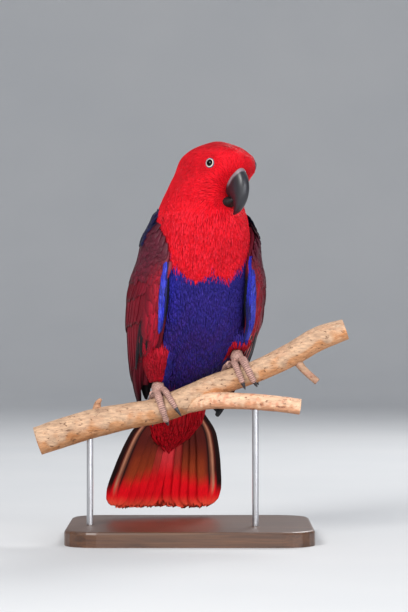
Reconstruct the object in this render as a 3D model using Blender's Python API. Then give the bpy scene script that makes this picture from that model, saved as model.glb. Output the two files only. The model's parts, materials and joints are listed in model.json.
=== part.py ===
"""A life-size female eclectus parrot, still, on a cut length of branch held by a display stand.

Metres, +Z up. The origin is the centre of the stand base's underside. The bird faces -Y, turned a little
towards +X, and its head is turned further the same way.
"""

import itertools
import math
import random

import bmesh
import bpy
import numpy as np
from mathutils import Vector

MM = 0.001
GAP = 0.3 * MM
HAIR = 0.01 * MM

# The stand's base
BASE_LENGTH = 0.226
BASE_DEPTH = 0.196
BASE_HEIGHT = 0.014
BASE_CORNER = 0.030
BASE_EDGE = 0.0025
ROD_RADIUS = 0.003
ROD_LEFT_X = -0.092

# Where the bird's own upright axis stands, over the perch, and how far its body and head are turned
BIRD_X = 0.0064
BIRD_Y = -0.018
BODY_YAW = math.radians(15)
HEAD_YAW = math.radians(38)
TORSO_TOP = 0.279
NECK_TOP = 0.303

RING_SIDES = 26


def smooth_table(heights, values, at):
    """A monotone curve through values at rising heights, read at one height."""
    h = np.diff(heights)
    slope = np.diff(values) / h
    tangent = np.zeros(len(values))
    for i in range(1, len(values) - 1):
        if slope[i - 1] * slope[i] > 0:
            tangent[i] = 2 / (1 / slope[i - 1] + 1 / slope[i])
    tangent[0], tangent[-1] = slope[0], slope[-1]
    i = int(np.clip(np.searchsorted(heights, at) - 1, 0, len(h) - 1))
    t = min(max((at - heights[i]) / h[i], 0.0), 1.0)
    return float(
        (1 + 2 * t) * (1 - t) ** 2 * values[i]
        + t * (1 - t) ** 2 * h[i] * tangent[i]
        + t * t * (3 - 2 * t) * values[i + 1]
        + t * t * (t - 1) * h[i] * tangent[i + 1]
    )


# Level sections of the body, in millimetres and degrees:
# height, centre ahead of the axis, centre to its left, half width, reach forward, reach back, turn
BODY_SECTIONS = np.array(
    [
        (118.0, -46.0, -3.0, 22.0, 11.0, 13.0, 15.0),
        (130.0, -43.0, -2.0, 28.0, 16.0, 19.0, 15.0),
        (145.0, -37.0, -1.0, 34.5, 23.0, 26.0, 15.0),
        (165.0, -28.0, 0.0, 42.0, 35.0, 34.0, 15.0),
        (190.0, -18.0, 0.0, 49.0, 45.0, 40.0, 15.0),
        (220.0, -10.0, 0.0, 52.0, 48.0, 42.0, 15.0),
        (250.0, -2.0, 1.0, 50.0, 47.0, 42.0, 15.0),
        (276.0, 5.0, 2.5, 46.0, 43.0, 42.0, 17.0),
        (294.0, 9.0, 2.0, 44.0, 36.5, 41.0, 21.0),
        (303.5, 11.0, 2.5, 41.5, 29.5, 42.0, 24.0),
        (313.0, 13.0, 4.0, 38.5, 24.5, 44.0, 27.0),
        (321.0, 15.0, 7.5, 36.5, 26.0, 48.0, 31.0),
        (329.0, 17.0, 11.5, 34.5, 29.0, 52.0, 34.0),
        (340.0, 20.0, 16.7, 32.0, 33.0, 54.5, 37.0),
        (350.0, 21.0, 17.6, 29.0, 31.5, 51.0, 38.0),
        (358.8, 21.0, 17.0, 21.0, 23.0, 38.0, 38.0),
        (363.6, 20.0, 16.5, 12.0, 13.0, 23.0, 38.0),
        (366.6, 18.0, 15.0, 3.0, 4.0, 5.0, 38.0),
    ]
)
# The same for the outer face of the two folded wings together
WING_SECTIONS = np.array(
    [
        (106.0, -60.0, 0.0, 38.0, 12.0, 24.0, 15.0),
        (124.0, -52.0, 0.0, 45.0, 20.0, 32.0, 15.0),
        (147.0, -38.0, 0.0, 54.0, 30.0, 41.0, 15.0),
        (166.0, -27.0, 0.0, 59.0, 38.0, 45.0, 15.0),
        (184.0, -19.0, 0.0, 62.5, 44.0, 47.0, 15.0),
        (202.0, -13.0, 1.0, 65.5, 48.0, 48.0, 15.0),
        (221.0, -9.0, 1.5, 66.0, 50.0, 48.0, 15.0),
        (239.0, -5.0, 2.2, 64.0, 49.0, 47.0, 15.0),
        (258.0, 0.0, 2.5, 58.5, 46.0, 46.0, 15.0),
        (276.0, 2.0, 3.2, 55.5, 43.0, 46.0, 16.0),
        (290.0, 4.0, 3.6, 49.0, 39.0, 43.0, 18.0),
        (302.0, 6.0, 2.0, 43.0, 34.0, 39.0, 20.0),
    ]
)


def turned(yaw):
    """Unit vectors ahead of, and to the left of, what is turned by yaw."""
    return (
        Vector((math.sin(yaw), -math.cos(yaw), 0)),
        Vector((math.cos(yaw), math.sin(yaw), 0)),
    )


def section_at(table, z):
    """Centre, half width, reach forward, reach back and turn of a table's level section at height z."""
    ahead, left, half, front, back, yaw = (
        smooth_table(table[:, 0] * MM, table[:, column], z) for column in range(1, 7)
    )
    body_ahead, body_left = turned(BODY_YAW)
    centre = Vector((BIRD_X, BIRD_Y, z)) + MM * (ahead * body_ahead + left * body_left)
    return centre, half * MM, front * MM, back * MM, math.radians(yaw)


def on_section(table, z, angle, inward=0.0):
    """A point on a section, angle from straight ahead and positive to the bird's left, sunk by inward."""
    centre, half, front, back, yaw = section_at(table, z)
    ahead, left = turned(yaw)
    reach = front if math.cos(angle) > 0 else back
    return (
        centre
        + (reach - inward) * math.cos(angle) * ahead
        + (half - inward) * math.sin(angle) * left
    )


def normal_on(table, z, angle):
    """The outward normal of the surface through a table's sections."""
    step = 0.0015
    turn = 0.03
    up = on_section(table, z + step, angle) - on_section(table, z - step, angle)
    round_it = on_section(table, z, angle + turn) - on_section(table, z, angle - turn)
    return round_it.cross(up).normalized()


def material(name, colour, roughness, metallic=0.0):
    made = bpy.data.materials.new(name)
    made.use_nodes = True
    shader = made.node_tree.nodes["Principled BSDF"]
    shader.inputs["Base Color"].default_value = (*colour, 1)
    shader.inputs["Roughness"].default_value = roughness
    shader.inputs["Metallic"].default_value = metallic
    return made


def add_object(name, points, faces, look):
    mesh = bpy.data.meshes.new(name)
    mesh.from_pydata([tuple(p) for p in points], [], faces)
    mesh.update()
    mesh.materials.append(look)
    made = bpy.data.objects.new(name, mesh)
    bpy.context.scene.collection.objects.link(made)
    return made


def loft(name, rings, look):
    """A closed body through rings of points, each end closed by a fan. A ring of one point is a pole."""
    points = [p for ring in rings for p in ring]
    starts = np.cumsum([0] + [len(ring) for ring in rings])
    faces = []
    for i in range(len(rings) - 1):
        a, b = starts[i], starts[i + 1]
        n, m = len(rings[i]), len(rings[i + 1])
        for k in range(max(n, m)):
            j = (k + 1) % max(n, m)
            if m == 1:
                faces.append((a + k, a + j, b))
            elif n == 1:
                faces.append((a, b + j, b + k))
            else:
                faces.append((a + k, a + j, b + j, b + k))
    for ring, start, reverse in ((rings[0], starts[0], True), (rings[-1], starts[-2], False)):
        if len(ring) == 1:
            continue
        middle = sum((Vector(p) for p in ring), Vector()) / len(ring)
        points.append(middle)
        for k in range(len(ring)):
            j = (k + 1) % len(ring)
            corners = (start + k, start + j, len(points) - 1)
            faces.append(corners[::-1] if reverse else corners)
    made = add_object(name, points, faces, look)
    face_out(made)
    return made


def face_out(made):
    """Turns every face of a closed body outwards."""
    work = bmesh.new()
    work.from_mesh(made.data)
    bmesh.ops.recalc_face_normals(work, faces=work.faces)
    if work.calc_volume(signed=True) < 0:
        bmesh.ops.reverse_faces(work, faces=work.faces)
    work.to_mesh(made.data)
    work.free()


def keep_largest(made):
    """Drops every closed surface but the largest."""
    work = bmesh.new()
    work.from_mesh(made.data)
    unseen = set(work.verts)
    groups = []
    while unseen:
        stack = [unseen.pop()]
        group = set(stack)
        while stack:
            for edge in stack.pop().link_edges:
                for vert in edge.verts:
                    if vert in unseen:
                        unseen.discard(vert)
                        group.add(vert)
                        stack.append(vert)
        groups.append(group)
    groups.sort(key=lambda g: sum(f.calc_area() for v in g for f in v.link_faces))
    spare = [v for g in groups[:-1] for v in g]
    bmesh.ops.delete(work, geom=spare, context="VERTS")
    work.to_mesh(made.data)
    work.free()


def apply_modifiers(made):
    graph = bpy.context.evaluated_depsgraph_get()
    graph.update()
    mesh = bpy.data.meshes.new_from_object(made.evaluated_get(graph))
    made.modifiers.clear()
    made.data = mesh


def fuse(made, pieces, solver="EXACT"):
    """Joins closed pieces to a body with one union."""
    group = bpy.data.collections.new(made.name + "_pieces")
    bpy.context.scene.collection.children.link(group)
    for piece in pieces:
        bpy.context.scene.collection.objects.unlink(piece)
        group.objects.link(piece)
    join = made.modifiers.new("union", "BOOLEAN")
    join.operation = "UNION"
    join.operand_type = "COLLECTION"
    join.collection = group
    join.solver = solver
    apply_modifiers(made)
    for piece in pieces:
        bpy.data.objects.remove(piece)
    bpy.data.collections.remove(group)
    keep_largest(made)
    return made


def grown(other, by):
    """A copy of a body with every face moved outwards."""
    work = bmesh.new()
    work.from_mesh(other.data)
    work.normal_update()
    moves = [(v, v.normal * v.calc_shell_factor() * by) for v in work.verts]
    for vert, move in moves:
        vert.co += move
    mesh = bpy.data.meshes.new(other.name + "_grown")
    work.to_mesh(mesh)
    work.free()
    made = bpy.data.objects.new(other.name + "_grown", mesh)
    bpy.context.scene.collection.objects.link(made)
    return made


def clear_of(made, *others, solver="EXACT", gap=GAP):
    """Cuts a body back so that it meets the others face to face."""
    for other in others:
        cutter = grown(other, gap)
        cut = made.modifiers.new("clear", "BOOLEAN")
        cut.operation = "DIFFERENCE"
        cut.object = cutter
        cut.solver = solver
        apply_modifiers(made)
        bpy.data.objects.remove(cutter)
        keep_largest(made)
    return made


def cut_away(made, cutter):
    """Cuts a helper body out of a body, and removes the helper."""
    cut = made.modifiers.new("cut", "BOOLEAN")
    cut.operation = "DIFFERENCE"
    cut.object = cutter
    apply_modifiers(made)
    bpy.data.objects.remove(cutter)
    keep_largest(made)
    return made


def part_sheets(made):
    """Parts two sheets of a body that meet along an edge, by lifting the flat one a hair there."""
    work = bmesh.new()
    work.from_mesh(made.data)
    bmesh.ops.triangulate(work, faces=work.faces[:], quad_method="FIXED", ngon_method="BEAUTY")
    for edge in [e for e in work.edges if len(e.link_faces) == 4]:
        pairs = itertools.combinations(edge.link_faces, 2)
        flat = max(pairs, key=lambda pair: pair[0].normal.dot(pair[1].normal))
        first, second = edge.verts
        middle = work.verts.new((first.co + second.co) / 2 + flat[0].normal * HAIR)
        for face in flat:
            ring = list(face.verts)
            while ring[2] in (first, second):
                ring = ring[1:] + ring[:1]
            work.faces.new((ring[0], middle, ring[2]))
            work.faces.new((middle, ring[1], ring[2]))
        bmesh.ops.delete(work, geom=list(flat), context="FACES_ONLY")
    work.to_mesh(made.data)
    work.free()


def ring_round(centre, across, up, radius, sides, squash=1.0):
    turns = [2 * math.pi * k / sides for k in range(sides)]
    return [centre + float(radius) * (math.cos(a) * across + squash * math.sin(a) * up) for a in turns]


def frames_along(path, first_up):
    """A direction and two crosswise unit vectors at each point of a path, turned as little as possible."""
    frames = []
    up = Vector(first_up)
    for i, point in enumerate(path):
        before = path[max(i - 1, 0)]
        after = path[min(i + 1, len(path) - 1)]
        along = (Vector(after) - Vector(before)).normalized()
        up = (up - up.dot(along) * along).normalized()
        frames.append((along, along.cross(up), up))
    return frames


def tube(name, path, radii, sides, look, round_tip=False, squash=1.0):
    """A closed tube along a path, with flat ends or a pointed far one."""
    first = (Vector(path[1]) - Vector(path[0])).normalized()
    seed_up = Vector((0, 0, 1)) if abs(first.z) < 0.9 else Vector((0, 1, 0))
    frames = frames_along(path, seed_up)
    rings = [
        ring_round(Vector(p), f[1], f[2], r, sides, squash)
        for p, f, r in zip(path, frames, radii)
    ]
    if round_tip:
        rings.append([Vector(path[-1]) + frames[-1][0] * radii[-1] * 0.8])
    return loft(name, rings, look)


def curve_through(points, count):
    """Evenly numbered points on a smooth curve through a few."""
    points = [Vector(p) for p in points]
    ends = [2 * points[0] - points[1], *points, 2 * points[-1] - points[-2]]
    made = []
    for k in range(count):
        t = k / (count - 1) * (len(points) - 1)
        i = min(int(t), len(points) - 2)
        t -= i
        a, b, c, d = ends[i : i + 4]
        made.append(
            0.5
            * (2 * b + (c - a) * t + (2 * a - 5 * b + 4 * c - d) * t * t + (3 * b - a - 3 * c + d) * t**3)
        )
    return made


def body_rings(low, high, rows, pole=False):
    """Rings of the body's surface between two heights."""
    angles = [2 * math.pi * k / RING_SIDES for k in range(RING_SIDES)]
    rings = []
    for i in range(rows):
        t = i / (rows - 1)
        if pole:
            t = math.sin(t * math.pi / 2)
        z = low + (high - low) * t
        rings.append([on_section(BODY_SECTIONS, z, a) for a in angles])
    if pole:
        rings[-1] = [section_at(BODY_SECTIONS, high)[0]]
    return rings


def trunk_rings():
    """Rings of the torso and of the neck."""
    bottom = BODY_SECTIONS[0, 0] * MM
    return (
        body_rings(bottom, TORSO_TOP - GAP / 2, 13),
        body_rings(TORSO_TOP + GAP / 2, NECK_TOP - GAP / 2, 3),
    )


def build_body(looks):
    top = BODY_SECTIONS[-1, 0] * MM
    torso_rings, neck_rings = trunk_rings()
    torso = loft("torso", torso_rings, looks["violet"])
    neck = loft("neck", neck_rings, looks["red"])
    head = loft("head", body_rings(NECK_TOP + GAP / 2, top, 13, pole=True), looks["red"])
    return torso, neck, head


# The head's own frame: its middle, on the line between the eyes and under the crown
HEAD_X = 0.028
HEAD_Y = -0.033
EYE_AHEAD = 0.0165
EYE_SIDE = 0.0245
EYE_HEIGHT = 0.3446
EYE_RADIUS = 0.0050
EYE_DEPTH = 0.0026
LID_RADIUS = 0.0047
LID_THICKNESS = 0.0009


def in_head(ahead, left, height):
    face, side = turned(HEAD_YAW)
    return Vector((HEAD_X, HEAD_Y, height)) + ahead * face + left * side


def eye_place(side):
    """The point of the head's surface over an eye, and the way the eye looks."""
    face, left = turned(HEAD_YAW)
    centre = section_at(BODY_SECTIONS, EYE_HEIGHT)[0]
    aim = in_head(EYE_AHEAD, side * EYE_SIDE, EYE_HEIGHT) - centre
    half, front = section_at(BODY_SECTIONS, EYE_HEIGHT)[1:3]
    angle = math.atan2(aim.dot(left) / half, aim.dot(face) / front)
    return (
        on_section(BODY_SECTIONS, EYE_HEIGHT, angle),
        normal_on(BODY_SECTIONS, EYE_HEIGHT, angle),
    )


def ball(name, centre, radius, look, columns=14, rows=7):
    rings = [[centre - Vector((0, 0, radius))]]
    for i in range(1, rows):
        tilt = math.pi * (i / rows - 0.5)
        rings.append(
            ring_round(
                centre + Vector((0, 0, radius * math.sin(tilt))),
                Vector((1, 0, 0)),
                Vector((0, 1, 0)),
                radius * math.cos(tilt),
                columns,
            )
        )
    rings.append([centre + Vector((0, 0, radius))])
    return loft(name, rings, look)


def hoop(name, centre, axis, radius, thickness, look, around=18, sides=5):
    """A closed ring, such as the rim of an eyelid."""
    out = axis.normalized()
    first = out.orthogonal().normalized()
    second = out.cross(first)
    points, faces = [], []
    for i in range(around):
        a = 2 * math.pi * i / around
        spoke = math.cos(a) * first + math.sin(a) * second
        points += ring_round(centre + spoke * radius, spoke, out, thickness, sides)
        for k in range(sides):
            j = (k + 1) % sides
            n = (i + 1) % around
            faces.append((i * sides + k, i * sides + j, n * sides + j, n * sides + k))
    made = add_object(name, points, faces, look)
    face_out(made)
    return made


def build_eyes(head, looks):
    """Eyeballs in sockets of the head, each with a raised rim for its lids."""
    eyes = []
    for side, label in ((1, "left"), (-1, "right")):
        surface, out = eye_place(side)
        centre = surface - out * EYE_DEPTH
        rim = hoop("rim", surface - out * LID_THICKNESS * 0.2, out, LID_RADIUS, LID_THICKNESS, looks["red"])
        fuse(head, [rim])
        cut_away(head, ball("socket", centre, EYE_RADIUS + GAP, looks["red"]))
        eyes.append(ball("eye_" + label, centre, EYE_RADIUS, looks["eye"]))
    return eyes


# The bill, in the head's own frame
CULMEN_AHEAD = 0.0168
CULMEN_HEIGHT = 0.325
CULMEN_RADIUS = 0.021
CULMEN_TIP_RADIUS = 0.0272
# The ridge's arc is a little flattened from front to back
CULMEN_REACH = 0.90
CULMEN_START = math.radians(66)
CULMEN_END = math.radians(-85)
BILL_HALF_WIDTH = 0.0079
JAW_HALF_WIDTH = 0.0076
BILL_SIDES = 14
BILL_FULLNESS = 0.8
# The lower edge of the upper bill's midline, ahead and up, from the gape to the tip
CUTTING_EDGE = ((0.008, 0.321), (0.0145, 0.315), (0.0196, 0.3123), (0.0220, 0.3060), (0.0203, 0.2985))


def bill_section(top, bottom, half_width):
    """A ring between a top and a bottom point of the bill's midline, a little fuller than an ellipse."""
    middle = (top + bottom) / 2
    up = (top - bottom) / 2
    side = turned(HEAD_YAW)[1]
    ring = []
    for k in range(BILL_SIDES):
        a = 2 * math.pi * k / BILL_SIDES
        reach = math.copysign(abs(math.cos(a)) ** BILL_FULLNESS, math.cos(a))
        ring.append(middle + up * math.sin(a) + side * half_width * reach)
    return ring


def culmen(t):
    """The ridge of the upper bill, from the forehead to the hooked tip."""
    angle = CULMEN_START + (CULMEN_END - CULMEN_START) * t
    radius = CULMEN_RADIUS + (CULMEN_TIP_RADIUS - CULMEN_RADIUS) * t
    ahead = CULMEN_AHEAD + CULMEN_REACH * radius * math.cos(angle)
    return in_head(ahead, 0, CULMEN_HEIGHT + radius * math.sin(angle))


def cutting_edge(t):
    """The lower edge of the upper bill's midline, from the gape to the tip."""
    return curve_through([in_head(ahead, 0, height) for ahead, height in CUTTING_EDGE], 25)[round(t * 24)]


def build_bill(head, neck, looks):
    steps = 12
    rings = []
    for i in range(steps):
        t = i / steps
        half = BILL_HALF_WIDTH * (1 - 0.80 * t**2.2)
        rings.append(bill_section(culmen(t), cutting_edge(t), half))
    rings.append([(culmen(1) + cutting_edge(1)) / 2])
    upper = loft("bill_upper", rings, looks["horn"])
    rings = []
    for i in range(8):
        t = i / 7
        ahead = 0.004 + 0.0178 * t
        top = 0.3165 - 0.003 * t
        depth = 0.0125 * (1 - 0.72 * t * t)
        half = JAW_HALF_WIDTH * math.sqrt(1 - 0.75 * t * t)
        rings.append(bill_section(in_head(ahead, 0, top), in_head(ahead, 0, top - depth), half))
    lower = loft("bill_lower", rings, looks["horn"])
    clear_of(upper, neck, head)
    clear_of(lower, neck, head, upper)
    return upper, lower


# The folded wings. Angles are from straight ahead, in degrees; heights in millimetres.
# Height, front edge, back edge, thickness of the wing from its outer face
WING_EDGES = {
    -1: np.array(
        [
            (109.0, 84.0, 118.0, 2.0),
            (124.0, 66.0, 128.0, 2.6),
            (147.0, 54.0, 140.0, 3.2),
            (162.0, 52.0, 149.0, 4.2),
            (176.0, 41.0, 154.0, 5.2),
            (190.0, 38.0, 158.0, 6.5),
            (221.0, 36.0, 161.0, 10.0),
            (258.0, 42.0, 154.0, 12.0),
            (276.0, 52.0, 140.0, 11.0),
            (292.0, 74.0, 112.0, 7.0),
        ]
    ),
    1: np.array(
        [
            (109.0, 84.0, 118.0, 2.0),
            (124.0, 70.0, 128.0, 2.6),
            (147.0, 56.0, 140.0, 3.2),
            (162.0, 48.0, 149.0, 4.2),
            (176.0, 46.0, 154.0, 5.2),
            (190.0, 45.0, 158.0, 6.5),
            (221.0, 38.0, 161.0, 10.0),
            (250.0, 42.0, 156.0, 12.0),
            (268.0, 52.0, 142.0, 11.0),
            (288.0, 74.0, 112.0, 7.0),
        ]
    ),
}


def wing_edges(side, z):
    table = WING_EDGES[side]
    front, back, thick = (smooth_table(table[:, 0] * MM, table[:, c], z) for c in (1, 2, 3))
    return math.radians(front), math.radians(back), thick * MM


def wing_slab(name, side, low, high, rows, columns, look, inset=0.0):
    """The wing as one smooth curved slab between two heights, thin at its edges and lower end."""
    rings = []
    for i in range(rows):
        z = low + (high - low) * i / (rows - 1)
        front, back, thick = wing_edges(side, z)
        outer, inner = [], []
        for k in range(columns):
            u = k / (columns - 1)
            angle = side * (front + (back - front) * u)
            rim = 1 - abs(2 * u - 1) ** 3
            depth = max(thick * (0.35 + 0.65 * rim), 0.8 * MM)
            outer.append(on_section(WING_SECTIONS, z, angle, inset))
            inner.append(on_section(WING_SECTIONS, z, angle, inset + depth))
        rings.append(outer + inner[::-1])
    return loft(name, rings, look)


def vane(name, stations, look, ridged=True):
    """A thin closed feather. A station is its midpoint, unit vectors across and out, half width and tilt."""
    places = (-1, 0, 1) if ridged else (-1, 1)
    wide = len(places)
    points = []
    for middle, across, out, half, tilt in stations:
        sink = half * half / (2 * VANE_BEND)
        for face in (1, -1):
            for place in places:
                lift = face * (VANE_MIDDLE if place == 0 else VANE_EDGE) / 2
                lift -= tilt * half * place + sink * abs(place)
                points.append(middle + across * half * place + out * lift)
    faces = []
    for a in range(0, 2 * wide * (len(stations) - 1), 2 * wide):
        b = a + 2 * wide
        for row in (0, wide):
            for k in range(row, row + wide - 1):
                faces += [(a + k, a + k + 1, b + k), (a + k + 1, b + k + 1, b + k)]
        for k in (0, wide - 1):
            faces += [(a + k, b + k, a + k + wide), (b + k, b + k + wide, a + k + wide)]
    for a in (0, 2 * wide * (len(stations) - 1)):
        for k in range(a, a + wide - 1):
            faces += [(k, k + 1, k + wide), (k + 1, k + wide + 1, k + wide)]
    made = add_object(name, points, faces, look)
    face_out(made)
    return made


VANE_MIDDLE = 0.9 * MM
VANE_EDGE = 0.6 * MM
VANE_BEND = 0.055
# How far along a feather each station is, and its width there as a part of the full one
VANE_SHAPE = ((0.0, 0.62), (0.3, 0.95), (0.62, 1.0), (0.87, 0.82), (1.0, 0.34))
COVERT_SHAPE = ((0.0, 0.7), (0.45, 1.0), (0.85, 0.86), (1.0, 0.36))
WING_TILT = 0.075
CORE_DEPTH = 4.2 * MM
VANE_SINK = 1.6 * MM
VANE_RISE = 0.5

# Tiers of the wing: root height and angle, their steps, tip height and angle, their steps, width, lie.
# Heights, widths and lies in millimetres, angles in degrees from straight ahead
WING_TIERS = (
    (192.0, 64.0, 0.0, 4.5, (138.0, 123.0, 112.0, 109.0, 118.0), 75.0, 10.5, 14.0, 2.6),
    (222.0, 61.0, -1.5, 18.5, (163.0, 155.0, 147.0, 141.0, 137.0), 69.0, 16.0, 21.0, 2.0),
    (248.0, 60.0, 0.0, 21.5, (201.0, 196.0, 192.0, 190.0, 190.0), 64.0, 21.3, 23.0, 1.5),
    (268.0, 62.0, 0.0, 22.5, (236.0, 231.0, 230.0, 231.0), 68.0, 22.0, 23.0, 1.0),
    (284.0, 72.0, 0.0, 19.0, (261.0, 257.0, 259.0), 74.0, 19.5, 20.0, 0.6),
)
# Long feathers of the wing's front edge: root height, angle past the edge, tip height, angle past it, width
FRONT_VANES = (
    (240.0, 9.0, 174.0, 5.0, 13.0, 1.2),
    (264.0, 9.0, 212.0, 4.0, 11.0, 0.8),
)
LEFT_DROP = 5.0
WING_GAP = 0.45 * MM
FEATHER_SEED = 14


def wing_vane(side, root, tip, width, lie, shape, look):
    """A feather lying on the wing's outer face, from a root sunk in the wing to a free tip."""
    stations = []
    for t, part in shape:
        z = root[0] + (tip[0] - root[0]) * t
        angle = side * (root[1] + (tip[1] - root[1]) * t)
        ahead_z = z + (tip[0] - root[0]) * 0.05
        ahead_angle = angle + side * (tip[1] - root[1]) * 0.05
        out = normal_on(WING_SECTIONS, z, angle)
        middle = on_section(WING_SECTIONS, z, angle)
        along = (on_section(WING_SECTIONS, ahead_z, ahead_angle) - middle).normalized()
        out = (out - out.dot(along) * along).normalized()
        depth = (CORE_DEPTH + VANE_SINK - lie) * max(1 - t / VANE_RISE, 0) + lie
        stations.append((middle - out * depth, out.cross(along) * side, out, width * part / 2, WING_TILT))
    return vane("vane", stations, look, ridged=shape is VANE_SHAPE)


def build_wings(others, looks):
    torso_rings, neck_rings = trunk_rings()
    trunk = loft("trunk", torso_rings + neck_rings, looks["crimson"])
    wings = []
    vary = random.Random(FEATHER_SEED)
    for side, label in ((1, "left"), (-1, "right")):
        table = WING_EDGES[side]
        drop = LEFT_DROP if side == 1 else 0.0
        look = looks["crimson"]
        wing = wing_slab("wing_" + label, side, 0.142, table[-1, 0] * MM, 9, 8, look, CORE_DEPTH)
        vanes = []
        for height, angle, height_step, angle_step, tips, tip_angle, tip_step, width, lie in WING_TIERS:
            shape = VANE_SHAPE if height < 240.0 else COVERT_SHAPE
            for i, tip_height in enumerate(tips):
                low = drop * (height > 250.0)
                front = math.degrees(wing_edges(side, (height - low) * MM)[0])
                root_angle = max(angle + angle_step * i, front + 6.0)
                root = ((height - low + height_step * i) * MM, math.radians(root_angle))
                tip_turn = tip_angle + tip_step * i + vary.uniform(-1.2, 1.2)
                tip = ((tip_height - low + vary.uniform(-1.4, 1.4)) * MM, math.radians(tip_turn))
                wide = width * vary.uniform(0.96, 1.04) * MM
                depth = (lie + vary.uniform(-0.15, 0.15)) * MM
                vanes.append(wing_vane(side, root, tip, wide, depth, shape, look))
        for height, angle, tip_height, tip_angle, width, lie in FRONT_VANES:
            low = drop * (height > 250.0)
            edges = [wing_edges(side, (h - low) * MM)[0] for h in (height, tip_height)]
            root = ((height - low) * MM, edges[0] + math.radians(angle))
            tip = ((tip_height - low) * MM, edges[1] + math.radians(tip_angle))
            vanes.append(wing_vane(side, root, tip, width * MM, lie * MM, COVERT_SHAPE, look))
        fuse(wing, vanes, solver="MANIFOLD")
        clear_of(wing, trunk, solver="MANIFOLD")
        clear_of(wing, *others, solver="MANIFOLD", gap=WING_GAP)
        part_sheets(wing)
        wings.append(wing)
    bpy.data.objects.remove(trunk)
    return wings


# The tail: a fan of feathers from a short root under the torso
TAIL_ROOT_SIDE = -0.005
TAIL_SWAY = math.radians(-1)
TAIL_SLOPE = math.radians(60)


def tail_frame():
    """The tail root's middle, and unit vectors down the tail, to its left and out of its upper side."""
    centre = section_at(BODY_SECTIONS, BODY_SECTIONS[0, 0] * MM)[0]
    ahead, left = turned(BODY_YAW)
    down = (-math.cos(TAIL_SLOPE) * ahead - math.sin(TAIL_SLOPE) * Vector((0, 0, 1))).normalized()
    down = (down + math.tan(TAIL_SWAY) * left).normalized()
    left = (left - left.dot(down) * down).normalized()
    return centre + left * TAIL_ROOT_SIDE, down, left, left.cross(down).normalized()


# The fan: distance down the tail in millimetres, the outermost feather's middle to the side, feather width
FAN = np.array(
    [
        (5.0, 21.0, 14.0),
        (26.0, 32.0, 21.0),
        (60.0, 40.0, 23.0),
        (90.0, 44.5, 23.0),
        (108.0, 45.0, 9.0),
    ]
)
FAN_FEATHERS = 12
FAN_LAYER = 1.25 * MM
# Coverts over and under the tail's root: length, width and lift off the fan in millimetres
COVERTS = ((34.0, 15.0, 7.0), (46.0, 17.0, -7.0))
COVERT_COUNT = 4


def build_tail(torso, looks):
    centre, down, left, top = tail_frame()
    look = looks["crimson"]
    angles = [2 * math.pi * k / RING_SIDES for k in range(RING_SIDES)]
    bottom = BODY_SECTIONS[0, 0] * MM
    rings = [[on_section(BODY_SECTIONS, bottom, a) - Vector((0, 0, GAP)) for a in angles]]
    for reach, half, thick in ((0.008, 28, 9.0), (0.022, 29, 5.5), (0.036, 24, 2.8), (0.046, 15, 1.2)):
        rings.append(
            [
                centre + down * reach + (left * half * math.sin(a) - top * thick * math.cos(a)) * MM
                for a in angles
            ]
        )
    tail = loft("tail", rings, look)
    vanes = []
    for i in range(FAN_FEATHERS):
        place = i - (FAN_FEATHERS - 1) / 2
        share = place / ((FAN_FEATHERS - 1) / 2)
        lift = ((FAN_FEATHERS - 1) / 4 - abs(place)) * FAN_LAYER
        stations = []
        for row, (reach, side_reach, width) in enumerate(FAN):
            after = FAN[min(row + 1, len(FAN) - 1)]
            before = FAN[max(row - 1, 0)]
            run = down * (after[0] - before[0]) + left * (after[1] - before[1]) * share
            reach = reach - (3.0 * share**4 if row > 2 else 0.0)
            middle = centre + (down * reach + left * side_reach * share) * MM + top * lift
            stations.append((middle, top.cross(run.normalized()), top, width / 2 * MM, 0.0))
        vanes.append(vane("vane", stations, look))
    for length, width, lift in COVERTS:
        for i in range(COVERT_COUNT):
            share = (i - (COVERT_COUNT - 1) / 2) / ((COVERT_COUNT - 1) / 2)
            long = length * (1 - 0.22 * share * share)
            stations = []
            for t, part in COVERT_SHAPE:
                reach = -2.0 + (long + 2.0) * t
                off = lift * (1 - 0.25 * t) - math.copysign(1.3, lift) * abs(share) * 1.4
                if t == 0:
                    off *= 0.4
                middle = centre + (down * max(reach, 2.0) + left * share * (13.0 - 3.0 * t) + top * off) * MM
                stations.append((middle, left, top * math.copysign(1, lift), width * part / 2 * MM, 0.0))
            vanes.append(vane("vane", stations, look, ridged=False))
    fuse(tail, vanes, solver="MANIFOLD")
    clear_of(tail, torso, solver="MANIFOLD")
    part_sheets(tail)
    return tail


# The branch: middle line in millimetres across and up, and its radius
BRANCH_LINE = (
    (-140, 91),
    (-116, 99),
    (-86, 108),
    (-57, 114),
    (-34, 118),
    (-6, 128),
    (23, 142),
    (60, 155),
    (92, 170),
    (120, 186),
    (143, 194),
)
BRANCH_RADII = (13.3, 13.6, 13.4, 12.2, 11.8, 12.4, 10.8, 10.2, 11.0, 11.2, 9.8)
# The limb in front of it: across, up and towards the back
LIMB_LINE = (
    (-18, 121, 0),
    (4, 126, -4),
    (20, 128.5, -8.5),
    (37, 128.6, -11.5),
    (60, 127.6, -12.5),
    (83, 125.5, -12),
    (101, 123, -11),
)
LIMB_RADII = (7.0, 8.0, 7.8, 7.7, 7.5, 7.4, 7.3)
TWIG_RADII = (0.0055, 0.0045, 0.0036, 0.0034, 0.0033)
SPUR_RADII = (0.005, 0.003, 0.0012)
BRANCH_STEPS = 22
BRANCH_SIDES = 12


def branch_point(x):
    """The branch's middle, direction and radius over a place across."""
    xs = np.array([p[0] for p in BRANCH_LINE]) * MM
    zs = np.array([p[1] for p in BRANCH_LINE]) * MM
    z = smooth_table(xs, zs, x)
    slope = (smooth_table(xs, zs, x + 2 * MM) - smooth_table(xs, zs, x - 2 * MM)) / (4 * MM)
    radius = smooth_table(xs, np.array(BRANCH_RADII) * MM, x)
    return Vector((x, BIRD_Y, z)), Vector((1, 0, slope)).normalized(), radius


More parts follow.
